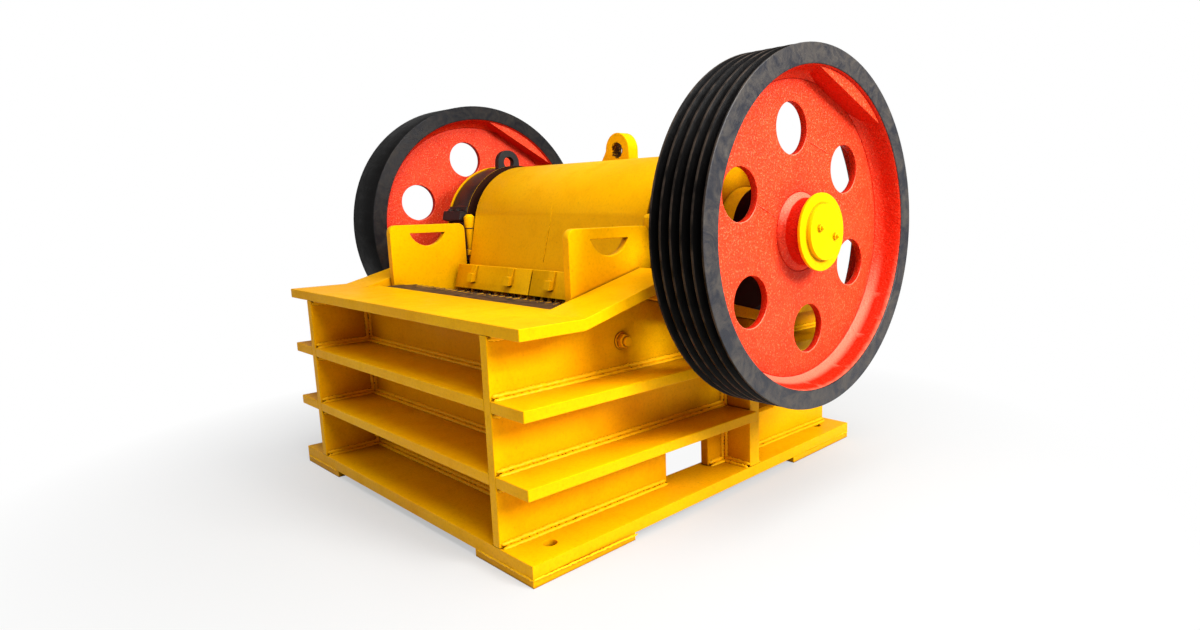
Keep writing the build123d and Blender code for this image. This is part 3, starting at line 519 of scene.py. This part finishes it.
    # Tool marks are about 1.2 mm apart, drawn at 3 mm so that they show.
    lines = add(
        tree, "ShaderNodeMath",
        {"operation": "MULTIPLY", 1: 2 * math.pi * per_mm(3)}, {0: radius.outputs["Value"]},
    )
    marks = add(tree, "ShaderNodeMath", {"operation": "SINE"}, {0: lines.outputs[0]})
    fine = add(tree, "ShaderNodeMath", {"operation": "MULTIPLY", 1: 0.02}, {0: marks.outputs[0]})
    turned = add(
        tree, "ShaderNodeMath",
        {"operation": "MULTIPLY_ADD", 1: 0.25}, {0: scratch.outputs[0], 2: fine.outputs[0]},
    )
    cast = add(tree, "ShaderNodeMath", {"operation": "ADD"}, {0: sand.outputs[0], 1: pebble.outputs[0]})
    height = add(
        tree, "ShaderNodeMix",
        {"data_type": "FLOAT"}, {0: rim.outputs[0], 2: cast.outputs[0], 3: turned.outputs[0]},
    )
    rim_sheen = add(
        tree, "ShaderNodeMapRange",
        {"To Min": 0.3, "To Max": 0.06}, {"Value": darker.outputs[0]},
    )
    red_sheen = add(
        tree, "ShaderNodeMapRange",
        {"To Min": 0.22, "To Max": 0.02}, {"Value": turned_in_shade.outputs[0]},
    )
    sheen = add(
        tree, "ShaderNodeMix",
        {"data_type": "FLOAT"}, {0: rim.outputs[0], 2: red_sheen.outputs[0], 3: rim_sheen.outputs[0]},
    )
    # The plain level is what the export keeps, because it drops a linked one.
    finish_material(
        tree, shown.outputs[2], rough.outputs[0], height.outputs[0], depth_mm=3.2,
        settings={"IOR": 1.5, "Specular IOR Level": 0.2}, varied={"Specular IOR Level": sheen.outputs[0]},
    )
    return made


def black_casting():
    """Black paint brushed on sand castings, with brown dust and thin spots."""
    made, tree, place = start_material("black_painted_casting")
    broad = add(
        tree, "ShaderNodeTexNoise",
        {"Scale": per_mm(70), "Detail": 5.0, "Roughness": 0.65}, {"Vector": place},
    )
    grain = add(tree, "ShaderNodeTexNoise", {"Scale": per_mm(5), "Detail": 4.0}, {"Vector": place})
    face = add(tree, "ShaderNodeNewGeometry")
    lean = add(tree, "ShaderNodeSeparateXYZ", None, {"Vector": face.outputs["Normal"]})
    dust = add(
        tree, "ShaderNodeMapRange",
        {"From Min": 0.25, "From Max": 0.85, "To Max": 0.8}, {"Value": lean.outputs[2]},
    )
    worn = add(
        tree, "ShaderNodeMapRange",
        {"From Min": 0.42, "From Max": 0.66}, {"Value": broad.outputs[0]},
    )
    brown = add(tree, "ShaderNodeMath", {"operation": "MULTIPLY"}, {0: dust.outputs[0], 1: worn.outputs[0]})
    mixed = add(
        tree, "ShaderNodeMix",
        {"data_type": "RGBA", 6: paint("#17100D"), 7: paint("#5A3020")}, {0: brown.outputs[0]},
    )
    rough = add(tree, "ShaderNodeMapRange", {"To Min": 0.35, "To Max": 0.62}, {"Value": broad.outputs[0]})
    finish_material(
        tree, mixed.outputs[2], rough.outputs[0], grain.outputs[0], depth_mm=0.7,
        settings={"IOR": 1.5, "Specular IOR Level": 0.35},
    )
    return made


def liner_steel():
    """Cast manganese steel: dusty brown on the cut top, dark with yellow overspray on the teeth, with painted
    shade in the gaps between them.
    """
    made, tree, place = start_material("painted_manganese_casting")
    face = add(tree, "ShaderNodeNewGeometry")
    lean = add(tree, "ShaderNodeSeparateXYZ", None, {"Vector": face.outputs["Normal"]})
    top = add(tree, "ShaderNodeMapRange", {"From Min": 0.6, "From Max": 0.8}, {"Value": lean.outputs[2]})
    stretched = add(tree, "ShaderNodeMapping", {"Scale": (0.35, 1.0, 1.0)}, {"Vector": place})
    streak = add(
        tree, "ShaderNodeTexNoise",
        {"Scale": per_mm(22), "Detail": 6.0, "Roughness": 0.7}, {"Vector": stretched.outputs[0]},
    )
    patch = add(
        tree, "ShaderNodeTexNoise",
        {"Scale": per_mm(34), "Detail": 5.0, "Roughness": 0.66}, {"Vector": place},
    )
    grain = add(
        tree, "ShaderNodeTexNoise",
        {"Scale": per_mm(4), "Detail": 4.0, "Roughness": 0.6}, {"Vector": place},
    )
    dust_and_highlight = add(
        tree, "ShaderNodeMapRange",
        {"From Min": 0.4, "From Max": 0.62}, {"Value": streak.outputs[0]},
    )
    cut = add(
        tree, "ShaderNodeMix",
        {"data_type": "RGBA", 6: paint("#5E4122"), 7: paint("#1E1208")}, {0: dust_and_highlight.outputs[0]},
    )
    spray = add(
        tree, "ShaderNodeMapRange",
        {"From Min": 0.42, "From Max": 0.50}, {"Value": patch.outputs[0]},
    )
    # Painted shade: the overspray stays off the gaps between the teeth, which stay dark, where it did not
    # reach and less light falls.
    gap = add(tree, "ShaderNodeAmbientOcclusion", {"samples": 8, "Distance": 30 * MM})
    reach_and_gap_shade = add(
        tree, "ShaderNodeMapRange",
        {"From Min": 0.35, "From Max": 0.6}, {"Value": gap.outputs["AO"]},
    )
    sprayed = add(
        tree, "ShaderNodeMath",
        {"operation": "MULTIPLY"}, {0: spray.outputs[0], 1: reach_and_gap_shade.outputs[0]},
    )
    teeth = add(
        tree, "ShaderNodeMix",
        {"data_type": "RGBA", 6: paint("#1C1006"), 7: paint("#DDA010")}, {0: sprayed.outputs[0]},
    )
    shown = add(
        tree, "ShaderNodeMix",
        {"data_type": "RGBA"}, {0: top.outputs[0], 6: teeth.outputs[2], 7: cut.outputs[2]},
    )
    rough = add(tree, "ShaderNodeMapRange", {"To Min": 0.5, "To Max": 0.85}, {"Value": patch.outputs[0]})
    finish_material(
        tree, shown.outputs[2], rough.outputs[0], grain.outputs[0], depth_mm=1.2,
        settings={"IOR": 1.5, "Specular IOR Level": 0.3},
    )
    return made


def turned_steel():
    """Turned and oiled steel, dark grey with a soft sheen."""
    made, tree, place = start_material("turned_oiled_steel")
    streak = add(tree, "ShaderNodeTexNoise", {"Scale": per_mm(14), "Detail": 5.0}, {"Vector": place})
    mixed = add(
        tree, "ShaderNodeMix",
        {"data_type": "RGBA", 6: paint("#5C5852"), 7: paint("#37322C")}, {0: streak.outputs[0]},
    )
    rough = add(tree, "ShaderNodeMapRange", {"To Min": 0.25, "To Max": 0.5}, {"Value": streak.outputs[0]})
    finish_material(
        tree, mixed.outputs[2], rough.outputs[0], streak.outputs[0], depth_mm=0.1,
        settings={"Metallic": 0.9},
    )
    return made


ENAMEL = yellow_enamel("sprayed_yellow_enamel")
LUG_ENAMEL = yellow_enamel("yellow_enamel_rusty_eye", rusty_eye)
COVER_ENAMEL = yellow_enamel("yellow_enamel_black_parts", black_paint_and_painted_shade)
WELD = weld_enamel()
WHEEL = wheel_paint()
CASTING = black_casting()
LINER = liner_steel()
STEEL = turned_steel()

NODES_BY_FINISH = (
    (WHEEL, (
        "flywheel_rim_right", "flywheel_rim_left", "flywheel_web_right", "flywheel_web_left",
        "flywheel_hubs", "balance_weights_right", "balance_weights_left",
    )),
    (CASTING, (
        "bearing_housing_left", "bearing_housing_right", "bearing_cap_left", "bearing_cap_right", "cap_eyes",
    )),
    (LUG_ENAMEL, ("lifting_lug",)),
    (COVER_ENAMEL, ("bearing_covers",)),
    (LINER, ("toggle_plate", "fixed_jaw_plate", "moving_jaw_plate")),
    (STEEL, ("eccentric_shaft",)),
)
NODE_FINISH = {name: finish for finish, names in NODES_BY_FINISH for name in names}

# Sheet and small castings, whose edges are sharper than those of the plate work.
THIN_NODES = (
    "jaw_flap", "jaw_guard", "clamp_bolts", "cheek_bolts", "bearing_covers", "moving_jaw_plate", "hub_caps",
)
THIN_EDGE = 1.2
PLATE_EDGE = 2.5

for name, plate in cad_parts.items():
    plate.data.materials.clear()
    plate.data.materials.append(NODE_FINISH.get(name, ENAMEL))
    joined = plate.modifiers.new("join", "WELD")
    joined.merge_threshold = 0.01 * MM
    merged = plate.modifiers.new("merged_flats", "DECIMATE")
    merged.decimate_type = "DISSOLVE"
    merged.angle_limit = math.radians(0.4)
    eased = plate.modifiers.new("eased_edges", "BEVEL")
    eased.width = (THIN_EDGE if name in THIN_NODES else PLATE_EDGE) * MM
    eased.segments = 2
    eased.limit_method = "ANGLE"
    eased.angle_limit = math.radians(35)
    eased.harden_normals = True


# Weld beads and fasteners, as joined meshes.

def piece(name, mesh, finish, body):
    """Makes an object of a finished mesh, gives it its finish and lets it ride on its body."""
    data = bpy.data.meshes.new(name)
    mesh.to_mesh(data)
    mesh.free()
    data.materials.append(finish)
    made = bpy.data.objects.new(name, data)
    bpy.context.scene.collection.objects.link(made)
    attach(made, body)
    return made


def bead(mesh, start, end, radius, seed):
    """One rippled pass of weld from start to end."""
    dice = random.Random(seed)
    run = end - start
    along = run.normalized()
    side = along.orthogonal().normalized()
    up = along.cross(side)
    count = max(2, int(run.length / (RIPPLE_STEP * MM)))
    rings = []
    for i in range(count + 1):
        swell = 1.0 + (CREST if i % 2 else TROUGH) + dice.uniform(-UNEVENNESS, UNEVENNESS)
        reach = radius * MM * swell * END_TAPER[min(2, i, count - i)]
        centre = start + run * (i / count)
        centre += (side * dice.uniform(-1, 1) + up * dice.uniform(-1, 1)) * WANDER * MM
        ring = []
        for k in range(BEAD_SIDES):
            turn = 2 * math.pi * k / BEAD_SIDES
            ring.append(mesh.verts.new(centre + (side * math.cos(turn) + up * math.sin(turn)) * reach))
        rings.append(ring)
    skin_rings(mesh, rings, smooth=True)


def skin_rings(mesh, rings, smooth):
    """Joins rings of points into a closed skin."""
    count = len(rings[0])
    for a, b in zip(rings, rings[1:]):
        for k in range(count):
            mesh.faces.new((a[k], a[(k + 1) % count], b[(k + 1) % count], b[k])).smooth = smooth
    mesh.faces.new(list(reversed(rings[0])))
    mesh.faces.new(rings[-1])


def turned_piece(mesh, origin, axis, profile, sides):
    """Nut, stud or washer: a profile of (radius, height) in mm turned about an axis."""
    axis = Vector(axis)
    side = axis.orthogonal().normalized()
    up = axis.cross(side)
    rings = []
    for radius, height in profile:
        ring = []
        for k in range(sides):
            turn = 2 * math.pi * k / sides
            spoke = side * math.cos(turn) + up * math.sin(turn)
            ring.append(mesh.verts.new(origin + (spoke * radius + axis * height) * MM))
        rings.append(ring)
    skin_rings(mesh, rings, smooth=sides > HEXAGON)


def bolt_head(mesh, origin, axis, radius, height, stud=0.0):
    """Washer, hexagon head or nut with a chamfered top, and the end of its stud if it has one."""
    washer = [(1.25 * radius, -1), (1.25 * radius, 0.15 * height)]
    turned_piece(mesh, origin, axis, washer, sides=20)
    head = [(radius, 0.1 * height), (radius, 0.85 * height), (0.82 * radius, height)]
    turned_piece(mesh, origin, axis, head, HEXAGON)
    if stud:
        shank = [(0.5 * radius, 0), (0.5 * radius, height + 0.8 * stud), (0.38 * radius, height + stud)]
        turned_piece(mesh, origin, axis, shank, sides=14)


def fillet_weld(mesh, start, end, first, second, seed):
    """Weld in a corner: two passes, one on each plate. first and second point along the plates."""
    for way, dice_seed in ((first, seed), (second, seed + SECOND_PASS_SEED)):
        shift = Vector(way) * (PASS_OFFSET * WELD_LEG * MM)
        bead(mesh, start + shift, end + shift, PASS_RADIUS * WELD_LEG, dice_seed)


UP = (0, 0, 1)
DOWN = (0, 0, -1)
FORE = (0, -1, 0)
AFT = (0, 1, 0)


def inward(x):
    """Direction from a side plate at x towards the middle of the machine."""
    return (-1 if x > 0 else 1, 0, 0)


def front_welds():
    """Beads in the three bays of the front."""
    mesh = bmesh.new()
    seed = 1
    bays = ((BASE_TOP, LOWER_RIB[0]), (LOWER_RIB[1], MIDDLE_RIB[0]), (MIDDLE_RIB[1], TOP_UNDER))
    for low, high in bays:
        for z, rise in ((low, UP), (high, DOWN)):
            fillet_weld(mesh, at(-PLATE_IN, WALL_FRONT, z), at(PLATE_IN, WALL_FRONT, z), rise, FORE, seed)
            for x in (-PLATE_IN, PLATE_IN):
                own = seed + (11 if x > 0 else 23)
                fillet_weld(mesh, at(x, WELD_START, z), at(x, WALL_FRONT, z), rise, inward(x), own)
            seed += 1
        for x in (-PLATE_IN, PLATE_IN):
            fillet_weld(mesh, at(x, WALL_FRONT, low), at(x, WALL_FRONT, high), FORE, inward(x), seed + 31)
            seed += 1
    piece("front_bay_welds", mesh, WELD, "frame")


def side_welds(side):
    """Beads outside one side plate."""
    mesh = bmesh.new()
    x = side * PLATE_OUT
    reach = side * STIFFENER_WELD_EDGE
    out = (side, 0, 0)
    rise = (SLOPE_WELD_END - WALL_FRONT) * math.tan(SEAT_TILT)
    front, back = STIFFENER
    seed = 40 if side > 0 else 80
    runs = [
        (at(x, WELD_START, BASE_TOP), at(x, WINDOW_SPAN[0], BASE_TOP), UP, out),
        (at(x, WINDOW_SPAN[1], BASE_TOP), at(x, front, BASE_TOP), UP, out),
        (at(x, back, BASE_TOP), at(x, SIDE_END, BASE_TOP), UP, out),
        (at(x, WELD_START, LOWER_RIB[0]), at(x, front, LOWER_RIB[0]), DOWN, out),
        (at(x, WELD_START, LOWER_RIB[1]), at(x, front, LOWER_RIB[1]), UP, out),
        (at(x, WELD_START, MIDDLE_RIB[0]), at(x, SIDE_END, MIDDLE_RIB[0]), DOWN, out),
        (at(x, WELD_START, MIDDLE_RIB[1]), at(x, SIDE_END, MIDDLE_RIB[1]), UP, out),
        (at(x, WELD_START, TOP_UNDER), at(x, WALL_FRONT, TOP_UNDER), DOWN, out),
        (at(x, WALL_FRONT, TOP_UNDER), at(x, SLOPE_WELD_END, TOP_UNDER + rise), DOWN, out),
        (at(x, front, BASE_TOP), at(x, front, MIDDLE_RIB[0]), FORE, out),
        (at(x, back, BASE_TOP), at(x, back, MIDDLE_RIB[0]), AFT, out),
        (at(x, front, BASE_TOP), at(reach, front, BASE_TOP), UP, FORE),
        (at(x, back, BASE_TOP), at(reach, back, BASE_TOP), UP, AFT),
        (at(x, front, MIDDLE_RIB[0]), at(reach, front, MIDDLE_RIB[0]), DOWN, FORE),
        (at(x, front, MIDDLE_RIB[1]), at(reach, front, MIDDLE_RIB[1]), UP, FORE),
        (at(x, front, MIDDLE_RIB[1]), at(x, front, STIFFENER_WELD_TOP[0]), FORE, out),
        (at(x, back, MIDDLE_RIB[1]), at(x, back, STIFFENER_WELD_TOP[1]), AFT, out),
    ]
    for start, end, first, second in runs:
        fillet_weld(mesh, start, end, first, second, seed)
        seed += 1
    label = "right" if side > 0 else "left"
    piece(f"side_welds_{label}", mesh, WELD, "frame")


def rear_welds():
    """Bead along the foot of the rear wall, and its upright seams with the side plates."""
    mesh = bmesh.new()
    fillet_weld(mesh, at(-PLATE_OUT, SIDE_END, BASE_TOP), at(PLATE_OUT, SIDE_END, BASE_TOP), UP, AFT, 120)
    for x in (-PLATE_IN, PLATE_IN):
        bead(mesh, at(x, SIDE_END, BASE_TOP), at(x, SIDE_END, REAR_TOP), radius=6.0, seed=130 + (x > 0))
    piece("rear_wall_welds", mesh, WELD, "frame")


def pad_welds():
    """Beads between the foot pads and the base flange, on the outer faces."""
    mesh = bmesh.new()
    seed = 160
    for side in (-1, 1):
        for x, y, inner_x, end_y in (
            (FRAME_HALF, 0, FRAME_HALF - PAD_WIDTH, PAD_FRONT),
            (REAR_HALF, REAR_EDGE, REAR_HALF - PAD_WIDTH, REAR_EDGE - PAD_REAR),
        ):
            bead(mesh, at(side * inner_x, y, PAD_TOP), at(side * x, y, PAD_TOP), radius=3.0, seed=seed)
            bead(mesh, at(side * x, y, PAD_TOP), at(side * x, end_y, PAD_TOP), radius=3.0, seed=seed + 1)
            seed += 2
    piece("pad_welds", mesh, WELD, "frame")


def cover_bolts():
    """Bolts round the outer bearing covers, without the lowest, which the seats hide."""
    mesh = bmesh.new()
    for side in (-1, 1):
        for k in range(COVER_BOLT_COUNT):
            turn = 2 * math.pi * (k + 0.5) / COVER_BOLT_COUNT
            v = COVER_BOLT_R * math.sin(turn)
            if v > COVER_BOLT_LOWEST:
                place = seat_point(side * COVER_FACE, COVER_BOLT_R * math.cos(turn), v)
                bolt_head(mesh, place, (side, 0, 0), radius=13, height=10)
    piece("cover_bolts", mesh, ENAMEL, "frame")


def housing_bolts():
    """Nuts on the ears of the housings, and bolts through their feet."""
    mesh = bmesh.new()
    ear_x, ear_u, ear_v = EAR_BOLTS
    foot_x, foot_u, foot_v = FOOT_BOLTS
    for side in (-1, 1):
        for end in (-1, 1):
            for x in ear_x:
                place = seat_point(side * x, end * ear_u, ear_v)
                bolt_head(mesh, place, SEAT_UP, radius=11, height=10)
            for x in foot_x:
                place = seat_point(side * x, end * foot_u, foot_v)
                bolt_head(mesh, place, SEAT_UP, radius=20, height=18, stud=12)
    piece("housing_bolts", mesh, CASTING, "frame")


def cheek_nuts():
    """Washer, nut and bolt end of each cheek plate, at the size and place that the photograph shows."""
    mesh = bmesh.new()
    for side in (-1, 1):
        place = at(side * PLATE_OUT, *CHEEK_NUT)
        out = (side, 0, 0)
        turned_piece(mesh, place, out, [(26, -1), (26, 4), (24.5, 5.5)], sides=28)
        turned_piece(mesh, place, out, [(22, 5), (23, 6.5), (23, 20), (20.5, 23)], HEXAGON)
        turned_piece(mesh, place, out, [(14.5, 20), (14.5, 31), (12.5, 33)], sides=24)
    made = piece("cheek_nuts", mesh, ENAMEL, "frame")
    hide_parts("cheek_bolts")


def clamp_rings():
    """Black retaining ring and nut on each long clamp bolt."""
    mesh = bmesh.new()
    for side in (-1, 1):
        ring = at(side * CLAMP_X, CLAMP_Y, CLAMP_RING_Z)
        nut = at(side * CLAMP_X, CLAMP_Y, CLAMP_NUT_Z)
        turned_piece(mesh, ring, UP, [(20.4, 0), (21.8, 1), (21.8, 4), (20.4, 5)], sides=24)
        turned_piece(mesh, nut, UP, [(18, 0), (21.6, 3), (21.6, 23), (18, 26)], HEXAGON)
    piece("clamp_rings", mesh, CASTING, "frame")


def hub_cap_nuts():
    """Two nuts with stud ends on each hub cap."""
    mesh = bmesh.new()
    for side in (-1, 1):
        for y, z in CAP_NUTS:
            bolt_head(mesh, at(side * CAP_FACE, y, z), (side, 0, 0), radius=10, height=8, stud=9)
    piece("hub_cap_nuts", mesh, ENAMEL, "rotor")


def casting_seams():
    """Raised parting lines left by the mould on the web of the grooved wheel."""
    mesh = bmesh.new()
    seams = (((675, 939), (757, 901)), ((909, 1123), (1039, 1084)))
    for start, end in seams:
        bead(mesh, at(WEB_FACE, *start), at(WEB_FACE, *end), radius=1.6, seed=140)
    piece("casting_seams", mesh, WHEEL, "rotor")


def guard_seam():
    """Ground butt weld down the middle of the guard's front sheet."""
    mesh = bmesh.new()
    points = [at(-9.5, 605.6, 743.6), at(-3, 618, 805), at(4, 633, 876), at(4, 650, 943)]
    for start, end in zip(points, points[1:]):
        bead(mesh, start, end, radius=2.6, seed=150)
    piece("guard_seam", mesh, ENAMEL, "jaw")


front_welds()
side_welds(1)
side_welds(-1)
rear_welds()
pad_welds()
cover_bolts()
housing_bolts()
cheek_nuts()
clamp_rings()
hub_cap_nuts()
casting_seams()
guard_seam()


# Studio: a pale floor that fades to white, a pale world and soft lamps, in metres and watts.

def studio_floor():
    """Pale floor: a light shadow around the machine, and white to the camera further out and underneath."""
    mesh = bmesh.new()
    bmesh.ops.create_circle(mesh, cap_ends=True, cap_tris=False, segments=96, radius=30.0)
    data = bpy.data.meshes.new("studio_floor")
    mesh.to_mesh(data)
    mesh.free()
    floor = bpy.data.objects.new("studio_floor", data)
    # Half a millimetre under the pads, so that no two faces share a plane.
    floor.location.z = -0.5 * MM
    bpy.context.scene.collection.objects.link(floor)
    made, tree, place = start_material("pale_studio_floor")
    diffuse = add(tree, "ShaderNodeBsdfDiffuse", {"Color": paint("#C2C2C0")})
    white = add(tree, "ShaderNodeEmission", {"Color": (1, 1, 1, 1), "Strength": 1.0})
    reach = add(tree, "ShaderNodeVectorMath", {"operation": "LENGTH"}, {0: place})
    fade = add(
        tree, "ShaderNodeMapRange",
        {"From Min": 0.8, "From Max": 2.0, "To Min": 0.45}, {"Value": reach.outputs["Value"]},
    )
    under = add(
        tree, "ShaderNodeMapRange",
        {"From Min": 0.64, "From Max": 0.6, "To Max": 0.94}, {"Value": reach.outputs["Value"]},
    )
    pale = add(tree, "ShaderNodeMath", {"operation": "MAXIMUM"}, {0: fade.outputs[0], 1: under.outputs[0]})
    path = add(tree, "ShaderNodeLightPath")
    glossy = add(
        tree, "ShaderNodeMath",
        {"operation": "MULTIPLY", 1: 0.18}, {0: path.outputs["Is Glossy Ray"]},
    )
    clear = add(
        tree, "ShaderNodeMath",
        {"operation": "MAXIMUM"}, {0: path.outputs["Is Camera Ray"], 1: path.outputs["Is Transmission Ray"]},
    )
    seen = add(tree, "ShaderNodeMath", {"operation": "MAXIMUM"}, {0: clear.outputs[0], 1: glossy.outputs[0]})
    factor = add(tree, "ShaderNodeMath", {"operation": "MULTIPLY"}, {0: pale.outputs[0], 1: seen.outputs[0]})
    shown = add(
        tree, "ShaderNodeMixShader", None,
        {0: factor.outputs[0], 1: diffuse.outputs[0], 2: white.outputs[0]},
    )
    add(tree, "ShaderNodeOutputMaterial", None, {"Surface": shown.outputs[0]})
    data.materials.append(made)


def studio_world():
    """White to the camera and behind glass, a fifth of that in reflections, and a dim fill light."""
    world = bpy.data.worlds.new("studio")
    bpy.context.scene.world = world
    world.use_nodes = True
    tree = world.node_tree
    tree.nodes.clear()
    path = add(tree, "ShaderNodeLightPath")
    glossy = add(
        tree, "ShaderNodeMath",
        {"operation": "MULTIPLY", 1: 0.2}, {0: path.outputs["Is Glossy Ray"]},
    )
    seen = add(
        tree, "ShaderNodeMath",
        {"operation": "MAXIMUM"}, {0: path.outputs["Is Camera Ray"], 1: path.outputs["Is Transmission Ray"]},
    )
    most = add(tree, "ShaderNodeMath", {"operation": "MAXIMUM"}, {0: seen.outputs[0], 1: glossy.outputs[0]})
    strength = add(
        tree, "ShaderNodeMapRange",
        {"To Min": 0.13, "To Max": 1.0}, {"Value": most.outputs[0]},
    )
    back = add(tree, "ShaderNodeBackground", {"Color": (1, 1, 1, 1)}, {"Strength": strength.outputs[0]})
    add(tree, "ShaderNodeOutputWorld", None, {"Surface": back.outputs[0]})


def soft_lamp(name, place, target, size, power):
    """Large square lamp that looks at the target."""
    lamp = bpy.data.lights.new(name, "AREA")
    lamp.shape = "SQUARE"
    lamp.size = size
    lamp.energy = power
    made = bpy.data.objects.new(name, lamp)
    made.location = place
    made.rotation_euler = (Vector(target) - Vector(place)).to_track_quat("-Z", "Y").to_euler()
    bpy.context.scene.collection.objects.link(made)


def photo_camera():
    """Camera where the photograph's camera stood, with its off-centre crop as shift."""
    yaw, pitch, roll = (math.radians(a) for a in CAMERA_ANGLES)
    ahead = Vector((-math.sin(yaw) * math.cos(pitch), math.cos(yaw) * math.cos(pitch), -math.sin(pitch)))
    level = Vector((math.cos(yaw), math.sin(yaw), 0.0))
    over = level.cross(ahead)
    right = level * math.cos(roll) + over * math.sin(roll)
    up = over * math.cos(roll) - level * math.sin(roll)
    lens = bpy.data.cameras.new("photo_camera")
    width, height = PHOTO_SIZE
    lens.sensor_width = SENSOR_WIDTH
    lens.lens = FOCAL_PIXELS / width * SENSOR_WIDTH
    lens.shift_x = (width / 2 - CENTRE_PIXELS[0]) / width
    lens.shift_y = (CENTRE_PIXELS[1] - height / 2) / width
    lens.clip_start = 0.05
    made = bpy.data.objects.new("photo_camera", lens)
    turn = Matrix((right, up, -ahead)).transposed().to_4x4()
    made.matrix_world = Matrix.Translation(at(*CAMERA_PLACE)) @ turn
    bpy.context.scene.collection.objects.link(made)
    bpy.context.scene.camera = made


studio_floor()
studio_world()
soft_lamp("overhead_lamp", (1.7, -0.5, 4.2), target=(0.3, 0, 0.6), size=2.8, power=150.0)
soft_lamp("front_lamp", (-2.2, -4.6, 2.6), target=(0, 0, 0.6), size=2.6, power=42.0)
soft_lamp("side_lamp", (5.1, 0.6, 3.0), target=(0.5, 0, 0.6), size=1.6, power=360.0)
soft_lamp("fill_lamp", (4.2, -1.6, 3.8), target=(0.5, -0.3, 0.4), size=1.6, power=75.0)
photo_camera()
bpy.context.scene.view_settings.view_transform = "Standard"

bpy.context.view_layer.update()
